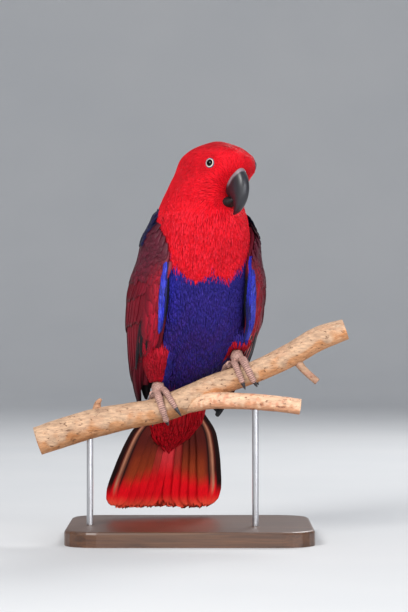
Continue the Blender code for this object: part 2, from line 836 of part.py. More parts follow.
def build_perch(looks):
    start, end = BRANCH_LINE[0][0] * MM, BRANCH_LINE[-1][0] * MM
    path, radii = [], []
    for i in range(BRANCH_STEPS):
        middle, _, radius = branch_point(start + (end - start) * i / (BRANCH_STEPS - 1))
        path.append(middle)
        radii.append(radius)
    branch = tube("perch_branch", path, radii, BRANCH_SIDES, looks["wood"])
    twig_root = branch_point(0.095)[0]
    twig_line = [twig_root + Vector(step) * MM for step in ((0, 0, 0), (8, -2, -13), (22, -4, -26))]
    twig = tube("twig", curve_through(twig_line, 5), TWIG_RADII, 8, looks["wood"])
    spur_root = branch_point(-0.086)[0] + Vector((0, 0, 0.008))
    spur_line = [spur_root + Vector(step) * MM for step in ((0, 0, 0), (1, 0, 9), (4, 0, 14))]
    spur = tube("spur", spur_line, SPUR_RADII, 6, looks["wood"])
    fuse(branch, [twig, spur])
    line = [Vector((x * MM, BIRD_Y + y * MM, z * MM)) for x, z, y in LIMB_LINE]
    radii = np.interp(np.linspace(0, len(LIMB_RADII) - 1, 14), range(len(LIMB_RADII)), LIMB_RADII) * MM
    limb = tube("perch_limb", curve_through(line, 14), radii, 10, looks["wood"])
    return branch, clear_of(limb, branch)


# The legs. Where each foot stands across the perch, to the photo's right of the middle
FOOT_X = {1: 0.0485, -1: -0.0235}
ANKLE_BACK = 0.010
# For each foot: place along the branch, turn round it, base radius, spread along the branch by the tip
TOES = {
    1: {
        "inner_front": (-3.5, 112, 3.3, 1.5),
        "outer_front": (4.0, 126, 3.7, 3.5),
        "inner_back": (-8.0, -84, 3.2, -11.0),
        "outer_back": (5.0, -118, 3.4, 4.0),
    },
    -1: {
        "inner_front": (5.0, 100, 3.3, 4.5),
        "outer_front": (-1.5, 138, 3.7, 0.0),
        "inner_back": (4.0, -92, 3.0, 4.0),
        "outer_back": (-6.0, -112, 3.4, -6.0),
    },
}
TOE_STEPS = 8
TOE_SIDES = 7
CLAW_TURN = 36


def round_branch(x, along, turn, lift):
    """A point along the branch from x, turned round it from its top to the front, and lifted off it."""
    middle, direction, radius = branch_point(x + along)
    front = Vector((0, -1, 0))
    up = direction.cross(front)
    if up.z < 0:
        up = -up
    return middle + (radius + lift) * (math.cos(turn) * up + math.sin(turn) * front)


def toe_path(side, label, start, end, steps, lift):
    offset, reach, _, spread = TOES[side][label]
    points = []
    for i in range(steps):
        t = start + (end - start) * i / (steps - 1)
        along = (offset + spread * t) * MM
        points.append(round_branch(FOOT_X[side], along, math.radians(reach) * t, lift(t)))
    return points


def build_foot(side, label, torso, perch, looks):
    pieces = []
    claws = []
    for toe, (_, reach, radius, _) in TOES[side].items():
        thick = radius * MM

        def lift(t, thick=thick):
            return thick * (1 - 0.25 * t) * 0.98 + GAP

        path = toe_path(side, toe, 0.0, 1.0, TOE_STEPS, lift)
        radii = [
            thick * (1 - 0.25 * i / (TOE_STEPS - 1)) * (1.06 if i % 3 == 0 else 0.94)
            for i in range(TOE_STEPS)
        ]
        pieces.append(tube(toe, path, radii, TOE_SIDES, looks["skin"], round_tip=True))
        turn = CLAW_TURN / abs(reach)

        def claw_lift(t, thick=thick):
            return thick * 0.75 + GAP + max(t - 1, 0) * 0.004

        claw_path = toe_path(side, toe, 0.97, 1.0 + turn, 5, claw_lift)
        claw = tube(
            f"claw_{label}_{toe}",
            claw_path,
            [1.8 * MM, 1.75 * MM, 1.45 * MM, 1.0 * MM, 0.4 * MM],
            6,
            looks["claw"],
        )
        claws.append(claw)
    top = round_branch(FOOT_X[side], 0, math.radians(-6), 0.0062)
    ankle = top + Vector((0, ANKLE_BACK, 0.014))
    foot = tube(
        "foot_" + label,
        curve_through([top + Vector((0, -0.003, -0.001)), top + Vector((0, 0.003, 0.004)), ankle], 6),
        [0.0058, 0.0062, 0.0056, 0.0048, 0.0044, 0.0042],
        10,
        looks["skin"],
    )
    fuse(foot, pieces)
    clear_of(foot, *perch, torso)
    for claw in claws:
        clear_of(claw, foot, *perch, torso, solver="MANIFOLD")
    return foot, claws, ankle


def thigh(name, side, ankle, looks):
    """The feathered thigh's whole shape, from inside the torso down over the ankle."""
    ahead, left = turned(BODY_YAW)
    hip = section_at(BODY_SECTIONS, 0.188)[0] + side * left * 0.026 + ahead * 0.008
    knee = hip * 0.45 + ankle * 0.55 + side * left * 0.004 + ahead * 0.005
    path = curve_through([hip, knee, ankle + Vector((0, -0.003, -0.007))], 8)
    radii = [0.021, 0.0215, 0.0205, 0.0188, 0.0165, 0.0142, 0.0115, 0.0085]
    return tube(name, path, radii, 14, looks["crimson"])


def build_stand(perch, looks):
    work = bmesh.new()
    corners = []
    for cx, cy, start in ((1, 1, 0), (-1, 1, 90), (-1, -1, 180), (1, -1, 270)):
        for k in range(6):
            a = math.radians(start + 90 * k / 5)
            corners.append(
                (
                    cx * (BASE_LENGTH / 2 - BASE_CORNER) + BASE_CORNER * math.cos(a),
                    cy * (BASE_DEPTH / 2 - BASE_CORNER) + BASE_CORNER * math.sin(a),
                    0,
                )
            )
    floor = work.faces.new([work.verts.new(c) for c in corners])
    top = bmesh.ops.extrude_face_region(work, geom=[floor])
    lifted = [v for v in top["geom"] if isinstance(v, bmesh.types.BMVert)]
    bmesh.ops.translate(work, verts=lifted, vec=(0, 0, BASE_HEIGHT))
    rim = [e for e in work.edges if all(v in lifted for v in e.verts)]
    bmesh.ops.bevel(work, geom=rim, offset=BASE_EDGE, segments=2, affect="EDGES", profile=0.5)
    bmesh.ops.recalc_face_normals(work, faces=work.faces)
    mesh = bpy.data.meshes.new("stand_base")
    work.to_mesh(mesh)
    work.free()
    mesh.materials.append(looks["base"])
    base = bpy.data.objects.new("stand_base", mesh)
    bpy.context.scene.collection.objects.link(base)
    rods = []
    branch, limb = perch
    limb_place = Vector(LIMB_LINE[4]) * MM
    for label, x, y, z, carrier in (
        ("left", ROD_LEFT_X, BIRD_Y, branch_point(ROD_LEFT_X)[0].z, branch),
        ("right", limb_place.x, BIRD_Y + limb_place.z, limb_place.y, limb),
    ):
        ends = [(x, y, BASE_HEIGHT + GAP), (x, y, z)]
        rod = tube("stand_rod_" + label, ends, [ROD_RADIUS] * 2, 16, looks["steel"])
        rods.append(clear_of(rod, carrier))
    return base, rods


def main():
    for old in list(bpy.data.objects):
        bpy.data.objects.remove(old)
    looks = {
        "red": material("red_feathers", (0.62, 0.004, 0.012), 0.6),
        "violet": material("violet_feathers", (0.045, 0.02, 0.25), 0.6),
        "crimson": material("crimson_feathers", (0.22, 0.008, 0.02), 0.55),
        "horn": material("black_horn", (0.025, 0.023, 0.028), 0.28),
        "eye": material("eye", (0.02, 0.015, 0.012), 0.05),
        "skin": material("foot_skin", (0.28, 0.19, 0.17), 0.6),
        "claw": material("claw_horn", (0.02, 0.02, 0.022), 0.35),
        "wood": material("branch_wood", (0.55, 0.34, 0.2), 0.7),
        "base": material("base_wood", (0.16, 0.08, 0.04), 0.4),
        "steel": material("rod_steel", (0.5, 0.5, 0.52), 0.25, 1.0),
    }
    perch = build_perch(looks)
    torso, neck, head = build_body(looks)
    clear_of(torso, *perch)
    build_bill(head, neck, looks)
    build_eyes(head, looks)
    tail = build_tail(torso, looks)
    guards = []
    feet = []
    for side, label in ((1, "left"), (-1, "right")):
        foot, claws, ankle = build_foot(side, label, torso, perch, looks)
        leg = thigh("leg_" + label, side, ankle, looks)
        clear_of(leg, torso, foot, solver="MANIFOLD")
        guards.append(thigh("guard", side, ankle, looks))
        feet.append(foot)
    build_wings([*guards, *feet, tail], looks)
    for guard in guards:
        bpy.data.objects.remove(guard)
    build_stand(perch, looks)
    for made in bpy.context.scene.objects:
        made.data.set_sharp_from_angle(angle=math.radians(40))


main()
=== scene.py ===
"""Looks of the life-size eclectus parrot hen on its cut length of branch and display stand.

Metres, +Z up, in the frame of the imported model. The bird faces -Y, turned a little towards +X.
Angles round the bird are from straight ahead, positive to its own left, the photograph's right.
"""

import json
import math

import bpy
import numpy as np
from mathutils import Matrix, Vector
from mathutils.bvhtree import BVHTree

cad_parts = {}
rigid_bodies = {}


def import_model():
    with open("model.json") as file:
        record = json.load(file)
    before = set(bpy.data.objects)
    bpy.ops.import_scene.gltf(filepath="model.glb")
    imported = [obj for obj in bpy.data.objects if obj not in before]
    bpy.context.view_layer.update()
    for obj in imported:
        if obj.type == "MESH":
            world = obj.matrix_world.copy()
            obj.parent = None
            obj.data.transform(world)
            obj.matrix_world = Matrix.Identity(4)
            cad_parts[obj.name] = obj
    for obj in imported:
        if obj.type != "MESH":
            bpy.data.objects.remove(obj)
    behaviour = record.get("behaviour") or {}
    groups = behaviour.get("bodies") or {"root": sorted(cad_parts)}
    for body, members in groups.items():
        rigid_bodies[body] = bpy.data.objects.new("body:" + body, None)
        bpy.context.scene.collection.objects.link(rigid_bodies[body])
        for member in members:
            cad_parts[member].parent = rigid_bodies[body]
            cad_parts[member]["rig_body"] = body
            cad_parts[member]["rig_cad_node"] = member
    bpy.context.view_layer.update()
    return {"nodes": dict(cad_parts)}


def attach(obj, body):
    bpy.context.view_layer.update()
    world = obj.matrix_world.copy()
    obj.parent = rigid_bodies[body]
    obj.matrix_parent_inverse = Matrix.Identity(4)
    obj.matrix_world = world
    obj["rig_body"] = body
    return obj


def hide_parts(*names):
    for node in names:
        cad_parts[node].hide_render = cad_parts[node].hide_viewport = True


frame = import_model()
nodes = frame["nodes"]

MM = 0.001
SEED = 20
rng = np.random.default_rng(SEED)

# Where the bird stands, and how far its body and head are turned to its left
BIRD = np.array((0.0064, -0.018, 0.0))
BODY_YAW = math.radians(15)
HEAD_YAW = math.radians(38)

# Level sections of the body, in millimetres and degrees:
# height, centre ahead of the axis, centre to its left, half width, reach forward, reach back, turn
BODY_ROWS = (
    (118, -46, -3, 22, 11, 13, 15),
    (130, -43, -2, 28, 16, 19, 15),
    (145, -37, -1, 34.5, 23, 26, 15),
    (165, -28, 0, 42, 35, 34, 15),
    (190, -18, 0, 49, 45, 40, 15),
    (220, -10, 0, 52, 48, 42, 15),
    (250, -2, 1, 50, 47, 42, 15),
    (276, 5, 2.5, 46, 43, 42, 17),
    (294, 9, 2, 44, 36.5, 41, 21),
    (303.5, 11, 2.5, 41.5, 29.5, 42, 24),
    (313, 13, 4, 38.5, 24.5, 44, 27),
    (321, 15, 7.5, 36.5, 26, 48, 31),
    (329, 17, 11.5, 34.5, 29, 52, 34),
    (340, 20, 16.7, 32, 33, 54.5, 37),
    (350, 21, 17.6, 29, 31.5, 51, 38),
    (358.8, 21, 17, 21, 23, 38, 38),
    (363.6, 20, 16.5, 12, 13, 23, 38),
    (366.6, 18, 15, 3, 4, 5, 38),
)
# The same for the outer face of the two folded wings together
WING_ROWS = (
    (106, -60, 0, 38, 12, 24, 15),
    (124, -52, 0, 45, 20, 32, 15),
    (147, -38, 0, 54, 30, 41, 15),
    (166, -27, 0, 59, 38, 45, 15),
    (184, -19, 0, 62.5, 44, 47, 15),
    (202, -13, 1, 65.5, 48, 48, 15),
    (221, -9, 1.5, 66, 50, 48, 15),
    (239, -5, 2.2, 64, 49, 47, 15),
    (258, 0, 2.5, 58.5, 46, 46, 15),
    (276, 2, 3.2, 55.5, 43, 46, 16),
    (290, 4, 3.6, 49, 39, 43, 18),
    (302, 6, 2, 43, 34, 39, 20),
)
# Each wing's front and back edge, in degrees, and its thickness, in millimetres, at rising heights
WING_EDGES = {
    -1: (
        (109, 84, 118, 2),
        (124, 66, 128, 2.6),
        (147, 54, 140, 3.2),
        (162, 52, 149, 4.2),
        (176, 41, 154, 5.2),
        (190, 38, 158, 6.5),
        (221, 36, 161, 10),
        (258, 42, 154, 12),
        (276, 52, 140, 11),
        (292, 74, 112, 7),
    ),
    1: (
        (109, 84, 118, 2),
        (124, 70, 128, 2.6),
        (147, 56, 140, 3.2),
        (162, 48, 149, 4.2),
        (176, 46, 154, 5.2),
        (190, 45, 158, 6.5),
        (221, 38, 161, 10),
        (250, 42, 156, 12),
        (268, 52, 142, 11),
        (288, 74, 112, 7),
    ),
}
# How much lower the left wing's coverts lie, in millimetres
LEFT_DROP = 5.0
COAT_DEPTH = 1.6 * MM
SIDES = ((1, "left"), (-1, "right"))


def srgb(red, green, blue):
    """A colour given as it looks on a screen, from 0 to 255, as linear light."""
    shown = np.array((red, green, blue)) / 255
    return np.where(shown <= 0.04045, shown / 12.92, ((shown + 0.055) / 1.055) ** 2.4)


SCARLET = srgb(228, 0, 26)
ROSE = srgb(252, 56, 80)
VIOLET = srgb(38, 30, 124)
PURPLE = srgb(66, 24, 108)
BLUE = srgb(34, 40, 178)
PALE_BLUE = srgb(84, 90, 216)
PALE_VIOLET = srgb(64, 54, 150)
MAROON = srgb(92, 6, 26)
DULL_MAROON = srgb(80, 22, 38)
WINE = srgb(112, 8, 28)
BLACK = srgb(10, 8, 16)
NAVY = srgb(20, 18, 66)
THIGH = srgb(172, 6, 34)
VENT = srgb(184, 0, 22)
FRONT_RED = srgb(150, 8, 34)
SALMON = srgb(206, 104, 104)


def step_between(low, high, x):
    """0 below low, 1 above high, and a smooth rise between."""
    t = np.clip((np.asarray(x, float) - low) / (high - low), 0, 1)
    return t * t * (3 - 2 * t)


def blend_of(first, second, share):
    return first + (second - first) * np.asarray(share, float)[..., None]


def unit(v):
    return v / np.maximum(np.linalg.norm(v, axis=-1, keepdims=True), 1e-12)


def turns(sides):
    """Angles once round, in equal steps."""
    return np.linspace(0, 2 * np.pi, sides, endpoint=False)


def smooth_table(heights, values, at):
    """A monotone curve through values at rising heights, read at an array of heights."""
    heights, values, at = np.asarray(heights, float), np.asarray(values, float), np.asarray(at, float)
    h = np.diff(heights)
    slope = np.diff(values) / h
    tangent = np.zeros(len(values))
    inner = slope[:-1] * slope[1:] > 0
    safe = np.where(inner, slope[:-1] + slope[1:], 1)
    tangent[1:-1] = np.where(inner, 2 * slope[:-1] * slope[1:] / safe, 0)
    tangent[0], tangent[-1] = slope[0], slope[-1]
    i = np.clip(np.searchsorted(heights, at) - 1, 0, len(h) - 1)
    t = np.clip((at - heights[i]) / h[i], 0, 1)
    return (
        (1 + 2 * t) * (1 - t) ** 2 * values[i]
        + t * (1 - t) ** 2 * h[i] * tangent[i]
        + t * t * (3 - 2 * t) * values[i + 1]
        + t * t * (t - 1) * h[i] * tangent[i + 1]
    )


def turned(yaw):
    """Unit vectors ahead of, and to the left of, what is turned by yaw."""
    yaw = np.asarray(yaw, float)
    flat = np.zeros_like(yaw)
    ahead = np.stack([np.sin(yaw), -np.cos(yaw), flat], axis=-1)
    left = np.stack([np.cos(yaw), np.sin(yaw), flat], axis=-1)
    return ahead, left


class Sections:
    """A closed upright surface given by level sections, read at arrays of heights and angles."""

    def __init__(self, rows):
        self.rows = np.array(rows)
        self.low, self.high = self.rows[0, 0] * MM, self.rows[-1, 0] * MM
        z = np.linspace(self.low, self.high, 400)
        _, half, front, back, _ = self.at(z)
        mean = (2 * half + front + back) / 4
        steps = np.hypot(np.diff(z), np.diff(mean))
        self.run_heights = z
        self.run = np.concatenate([[0], np.cumsum(steps)])

    def at(self, z):
        ahead, left, half, front, back, yaw = (
            smooth_table(self.rows[:, 0] * MM, self.rows[:, c], z) for c in range(1, 7)
        )
        body_ahead, body_left = turned(BODY_YAW)
        centre = BIRD + MM * (ahead[..., None] * body_ahead + left[..., None] * body_left)
        centre[..., 2] = z
        return centre, half * MM, front * MM, back * MM, np.radians(yaw)

    def point(self, z, angle, inward=0.0):
        z, angle = np.broadcast_arrays(np.asarray(z, float), np.asarray(angle, float))
        centre, half, front, back, yaw = self.at(z)
        ahead, left = turned(yaw)
        reach = np.where(np.cos(angle) > 0, front, back)
        forward = (reach - inward) * np.cos(angle)
        sideways = (half - inward) * np.sin(angle)
        return centre + forward[..., None] * ahead + sideways[..., None] * left

    def normal(self, z, angle):
        z, angle = np.broadcast_arrays(np.asarray(z, float), np.asarray(angle, float))
        up = self.point(z + 1.5 * MM, angle) - self.point(z - 1.5 * MM, angle)
        across = self.point(z, angle + 0.03) - self.point(z, angle - 0.03)
        return unit(np.cross(across, up))

    def around(self, points):
        """How far points are ahead and to the left of the section there, and its three sizes."""
        centre, half, front, back, yaw = self.at(points[..., 2])
        ahead, left = turned(yaw)
        off = points - centre
        return (off * ahead).sum(-1), (off * left).sum(-1), half, front, back

    def angle_of(self, points):
        """The angle round the surface of points near it."""
        forward, sideways, half, front, _ = self.around(points)
        return np.arctan2(sideways / half, forward / front)

    def beside(self, points):
        """How far out points are, as a share of the section there."""
        forward, sideways, half, front, back = self.around(points)
        return np.hypot(sideways / half, forward / np.where(forward > 0, front, back))

    def place(self, z, angle):
        """Places on the surface's own unwrap, from 0 to 1 each way."""
        up = np.interp(z, self.run_heights, self.run) / self.run[-1]
        return np.stack([0.02 + 0.96 * (angle / (2 * np.pi) + 0.5), 0.02 + 0.96 * up], axis=-1)

    def spots(self, low, high, row_pitch, column_pitch):
        """Staggered, uneven places for roots between two heights."""
        start, end = np.interp((low, high), self.run_heights, self.run)
        heights, angles = [], []
        for number, run in enumerate(np.arange(start, end, row_pitch)):
            z = np.interp(run, self.run, self.run_heights)
            _, half, front, back, _ = self.at(np.array(z))
            girth = np.pi * (2 * half + front + back) / 2
            count = max(int(girth / column_pitch), 5)
            turn = (np.arange(count) + 0.5 * (number % 2)) / count * 2 * np.pi - np.pi
            angles.append(turn + rng.uniform(-0.3, 0.3, count) * 2 * np.pi / count)
            wander = run + rng.uniform(-0.35, 0.35, count) * row_pitch
            heights.append(np.interp(wander, self.run, self.run_heights))
        return np.concatenate(heights), np.concatenate(angles)


body = Sections(BODY_ROWS)
wing = Sections(WING_ROWS)


def wing_edge(side, z, column):
    """The front edge (1), back edge (2) or thickness (3) of a wing at heights, in radians or metres."""
    table = np.array(WING_EDGES[side])
    read = smooth_table(table[:, 0] * MM, table[:, column], z)
    return read * MM if column == 3 else np.radians(read)


# Meshes


def new_object(name, data):
    made = bpy.data.objects.new(name, data)
    bpy.context.scene.collection.objects.link(made)
    return made


def mesh_object(name, points, loops, totals, look):
    """An object from arrays of points, corner numbers and corners per face."""
    mesh = bpy.data.meshes.new(name)
    mesh.vertices.add(len(points))
    mesh.vertices.foreach_set("co", np.asarray(points, np.float32).ravel())
    mesh.loops.add(len(loops))
    mesh.loops.foreach_set("vertex_index", np.asarray(loops, np.int32))
    mesh.polygons.add(len(totals))
    starts = np.concatenate([[0], np.cumsum(totals)[:-1]]).astype(np.int32)
    mesh.polygons.foreach_set("loop_start", starts)
    mesh.polygons.foreach_set("use_smooth", np.full(len(totals), True))
    mesh.update(calc_edges=True)
    mesh.materials.append(look)
    return new_object(name, mesh)


def settle(piece, slot, *stands_for):
    """Lets a piece ride on the model's one body, and hides the nodes that it stands for. slot, its finish,
    is not used.
    """
    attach(piece, "root")
    if stands_for:
        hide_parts(*stands_for)


def paint(made, colours):
    """Keeps a colour for each point of a mesh, for its material to read."""
    rgba = np.ones((len(colours), 4), np.float32)
    rgba[:, :3] = colours
    layer = made.data.color_attributes.new("markings", "FLOAT_COLOR", "POINT")
    layer.data.foreach_set("color", rgba.ravel())


def paint_all(made, tone):
    paint(made, np.broadcast_to(tone, (len(made.data.vertices), 3)))


def paint_tube(made, tones, cap=None):
    """Colours a tube's rings. Its ends take the first and the last tone, or one of their own."""
    flat = tones.reshape(-1, 3)
    ends = [flat[:1], flat[-1:]] if cap is None else [[cap], [cap]]
    paint(made, np.concatenate([flat, *ends]))


def read_vectors(items, key):
    values = np.empty(len(items) * 3)
    items.foreach_get(key, values)
    return values.reshape(-1, 3)


def keep_vectors(made, name, vectors):
    layer = made.data.attributes.new(name, "FLOAT_VECTOR", "POINT")
    layer.data.foreach_set("vector", np.asarray(vectors, np.float32).ravel())


def barb_vectors(centre, c, half, slanting):
    """Where each point is among its feather's barbs: they run along a soft feather, and slant on a vane."""
    count, rows, _ = centre.shape
    steps = np.linalg.norm(np.diff(centre, axis=1), axis=-1) / MM
    along = np.concatenate([np.zeros((count, 1)), np.cumsum(steps, axis=1)], axis=1)[..., None]
    own = np.broadcast_to(37.0 * np.arange(count)[:, None, None], (count, rows, len(c)))
    if slanting:
        aside = np.broadcast_to(np.abs(c), own.shape)
        return np.stack([(along - 5.0 * aside) * 1.1, aside * 0.6, own], axis=-1)
    wide = half.max(axis=1)[:, None, None] / MM
    return np.stack(np.broadcast_arrays(c * wide * 2.0, along * 0.12, own), axis=-1)


def bake_map(made, places):
    """A map named OFBake, of places for colours. places has one row for each corner."""
    layer = made.data.uv_layers.new(name="OFBake")
    layer.data.foreach_set("uv", np.asarray(places, np.float32).ravel())


def grid_faces(rows, sides):
    """Corner numbers of the quads between closed rings of points."""
    row, k = np.meshgrid(np.arange(rows - 1), np.arange(sides), indexing="ij")
    a = row * sides + k
    b = row * sides + (k + 1) % sides
    return np.stack([a, b, b + sides, a + sides], axis=-1).reshape(-1, 4)


def signed_volume(corner):
    """Six times the volume inside quads, below 0 where they face in. corner is of quads by 4 by 3."""
    first = (corner[..., 0, :] * np.cross(corner[..., 1, :], corner[..., 2, :])).sum((-2, -1))
    return first + (corner[..., 0, :] * np.cross(corner[..., 2, :], corner[..., 3, :])).sum((-2, -1))


def tube_mesh(name, rings, look):
    """A smooth closed body through equal rings of points, each end closed by a fan."""
    rings = np.asarray(rings, float)
    rows, sides, _ = rings.shape
    points = np.concatenate([rings.reshape(-1, 3), rings[:1].mean(axis=1), rings[-1:].mean(axis=1)])
    quads = grid_faces(rows, sides)
    k = np.arange(sides)
    j = (k + 1) % sides
    last = (rows - 1) * sides
    first_cap = np.stack([j, k, np.full(sides, rows * sides)], axis=-1)
    last_cap = np.stack([last + k, last + j, np.full(sides, rows * sides + 1)], axis=-1)
    loops = np.concatenate([quads.ravel(), first_cap.ravel(), last_cap.ravel()])
    totals = np.concatenate([np.full(len(quads), 4), np.full(2 * sides, 3)])
    made = mesh_object(name, points, loops, totals, look)
    if signed_volume((points - points.mean(axis=0))[quads]) < 0:
        made.data.flip_normals()
    return made


def curve_through(points, count):
    """Points on a smooth curve through a few."""
    points = np.asarray(points, float)
    ends = np.concatenate([[2 * points[0] - points[1]], points, [2 * points[-1] - points[-2]]])
    t = np.linspace(0, len(points) - 1, count)
    i = np.minimum(t.astype(int), len(points) - 2)
    t = (t - i)[:, None]
    a, b, c, d = ends[i], ends[i + 1], ends[i + 2], ends[i + 3]
    return 0.5 * (
        2 * b + (c - a) * t + (2 * a - 5 * b + 4 * c - d) * t**2 + (3 * b - a - 3 * c + d) * t**3
    )


def path_frames(path):
    """Two crosswise unit vectors for each point of a path, which turn with it as little as possible."""
    along = unit(np.gradient(path, axis=0))
    up = np.array((0.0, 0.0, 1.0)) if abs(along[0, 2]) < 0.9 else np.array((0.0, 1.0, 0.0))
    ups = []
    for direction in along:
        up = unit(up - (up @ direction) * direction)
        ups.append(up)
    ups = np.array(ups)
    return np.cross(along, ups), ups


def spokes_round(path, sides):
    """Directions out from each point of a path."""
    across, up = path_frames(path)
    turn = turns(sides)
    return np.cos(turn)[None, :, None] * across[:, None] + np.sin(turn)[None, :, None] * up[:, None]


def tube_rings(path, radii, sides):
    """Rings round a path. radii has one value for each point of the path, or for each point and side."""
    spokes = spokes_round(path, sides)
    radii = np.asarray(radii, float)
    if radii.ndim == 1:
        radii = radii[:, None]
    return path[:, None] + spokes * radii[..., None]


# A vane's closed cross-section: places across in half widths, and out of its face in thicknesses
BLADE = np.array([(-1.0, 0.0), (0.0, 0.6), (1.0, 0.0)])
TIP_THINNESS = 0.45
PATCH_HALF_WIDTH, PATCH_HALF_LENGTH = 0.0012, 0.0015


def broad_ring(columns):
    """The cross-section of a broad vane, its upper face first and then its lower one."""
    c = np.linspace(-1, 1, columns)
    rise = 0.5 * (1 - 0.75 * np.abs(c))
    upper = np.stack([c, rise], axis=-1)
    return np.concatenate([upper, upper[::-1] * (1, -1)])


def vane_mesh(
    name, centre, across, out, half, ring, thick, colour, place, look, tilt=0.0, bend=None, ragged=None
):
    """Many closed vanes as one mesh.

    centre, across and out are arrays of feathers by rows by 3, half of feathers by rows, colour of
    feathers by rows by ring points by 3, and place has each root's spot on the unwrap.
    """
    count, rows = half.shape
    sides = len(ring)
    c = ring[:, 0]
    reach = half[..., None] * c
    rise = thick * ring[:, 1] * np.linspace(1, TIP_THINNESS, rows)[None, :, None] + tilt * reach
    if bend is not None:
        rise = rise - reach**2 / (2 * bend)
    points = centre[:, :, None] + across[:, :, None] * reach[..., None] + out[:, :, None] * rise[..., None]
    if ragged is not None:
        along = unit(np.gradient(centre, axis=1))
        points = points + along[:, :, None] * ragged[..., None]
    quads = grid_faces(rows, sides)
    fan = np.arange(1, sides - 1)
    root = np.stack([np.zeros_like(fan), fan + 1, fan], axis=-1)
    tip = root[:, [0, 2, 1]] + (rows - 1) * sides
    tris = np.concatenate([root, tip])
    flat = points.reshape(count, rows * sides, 3)
    inward = signed_volume((flat - flat.mean(axis=1, keepdims=True))[:, quads])[:, None, None] < 0
    base = (np.arange(count) * rows * sides)[:, None, None]
    quads = np.where(inward, quads[None, :, ::-1], quads[None])
    tris = np.where(inward, tris[None, :, ::-1], tris[None])
    loops = np.concatenate([(quads + base).ravel(), (tris + base).ravel()])
    totals = np.concatenate([np.full(count * quads.shape[1], 4), np.full(count * tris.shape[1], 3)])
    made = mesh_object(name, flat.reshape(-1, 3), loops, totals, look)
    paint(made, np.broadcast_to(colour, (count, rows, sides, 3)).reshape(-1, 3))
    keep_vectors(made, "barbs", barb_vectors(centre, c, half, look.name.startswith("long")).reshape(-1, 3))
    down = np.linspace(-PATCH_HALF_LENGTH, PATCH_HALF_LENGTH, rows)[:, None]
    patch = np.stack(np.broadcast_arrays(c[None, :] * PATCH_HALF_WIDTH, down), axis=-1)
    spots = place[:, None, None] + patch[None]
    bake_map(made, spots.reshape(-1, 2)[loops])
    return made


def shape_of(profile, rows):
    """A width along a vane, from pairs of place and part of the full width."""
    where, part = np.array(profile).T
    return np.interp(np.linspace(0, 1, rows), where, part)


# Materials


def new_look(name):
    made = bpy.data.materials.new(name)
    made.use_nodes = True
    tree = made.node_tree
    return made, tree, tree.nodes["Principled BSDF"]


def add_node(tree, kind, inputs=(), **settings):
    node = tree.nodes.new(kind)
    for key, value in settings.items():
        setattr(node, key, value)
    for key, value in dict(inputs).items():
        if isinstance(value, bpy.types.NodeSocket):
            tree.links.new(value, node.inputs[key])
        else:
            node.inputs[key].default_value = value
    return node


def stretched_noise(tree, scale, stretch=(1, 1, 1), detail=4.0, roughness=0.6):
    """Noise over the object's own coordinates, in features to a metre, longer where stretch is smaller."""
    where = add_node(tree, "ShaderNodeTexCoord")
    mapped = add_node(tree, "ShaderNodeMapping", {"Vector": where.outputs["Object"], "Scale": stretch})
    return add_node(
        tree,
        "ShaderNodeTexNoise",
        {"Vector": mapped.outputs[0], "Scale": scale, "Detail": detail, "Roughness": roughness},
    )


def ramp(tree, value, stops):
    node = add_node(tree, "ShaderNodeValToRGB", {"Fac": value})
    points = node.color_ramp.elements
    while len(points) < len(stops):
        points.new(0.5)
    for point, (place, colour) in zip(points, stops):
        point.position = place
        point.color = (*colour, 1)
    return node


def tint(tree, colour, value, low, high):
    """A colour made darker and lighter by a value."""
    span = {"Value": value, "From Min": 0.3, "From Max": 0.7, "To Min": low, "To Max": high}
    spread = add_node(tree, "ShaderNodeMapRange", span)
    return add_node(tree, "ShaderNodeVectorMath", {0: colour, "Scale": spread.outputs[0]}, operation="SCALE")


def mixed(tree, share, first, second, blend="MIX"):
    """One colour over another, as a socket."""
    inputs = {0: share, 6: first, 7: second}
    return add_node(tree, "ShaderNodeMix", inputs, data_type="RGBA", blend_type=blend).outputs[2]


def attribute(tree, name, socket="Color"):
    return add_node(tree, "ShaderNodeAttribute", attribute_name=name).outputs[socket]


def wear(tree, shader, colour, values):
    """Gives a shader its colour and its other values."""
    tree.links.new(colour, shader.inputs["Base Color"])
    for key, value in values.items():
        shader.inputs[key].default_value = value


def bump(tree, shader, height, strength, distance):
    node = add_node(tree, "ShaderNodeBump", {"Height": height, "Strength": strength, "Distance": distance})
    tree.links.new(node.outputs[0], shader.inputs["Normal"])


def feather_look(name, roughness, low, high, depth):
    """Feathers: the painted markings with each feather's own fine barbs, and broad soft patches."""
    made, tree, shader = new_look(name)
    where = attribute(tree, "barbs", "Vector")
    grain = {"Vector": where, "Scale": 1.0, "Detail": 3.0, "Roughness": 0.6}
    barbs = add_node(tree, "ShaderNodeTexNoise", grain)
    patches = stretched_noise(tree, 55.0, (1, 1, 0.5), detail=3.0)
    toned = tint(tree, attribute(tree, "markings"), patches.outputs[0], 0.88, 1.1)
    colour = tint(tree, toned.outputs[0], barbs.outputs[0], low, high)
    wear(tree, shader, colour.outputs[0], {"Roughness": roughness, "Specular IOR Level": 0.22})
    bump(tree, shader, barbs.outputs[0], 0.5, depth)
    return made


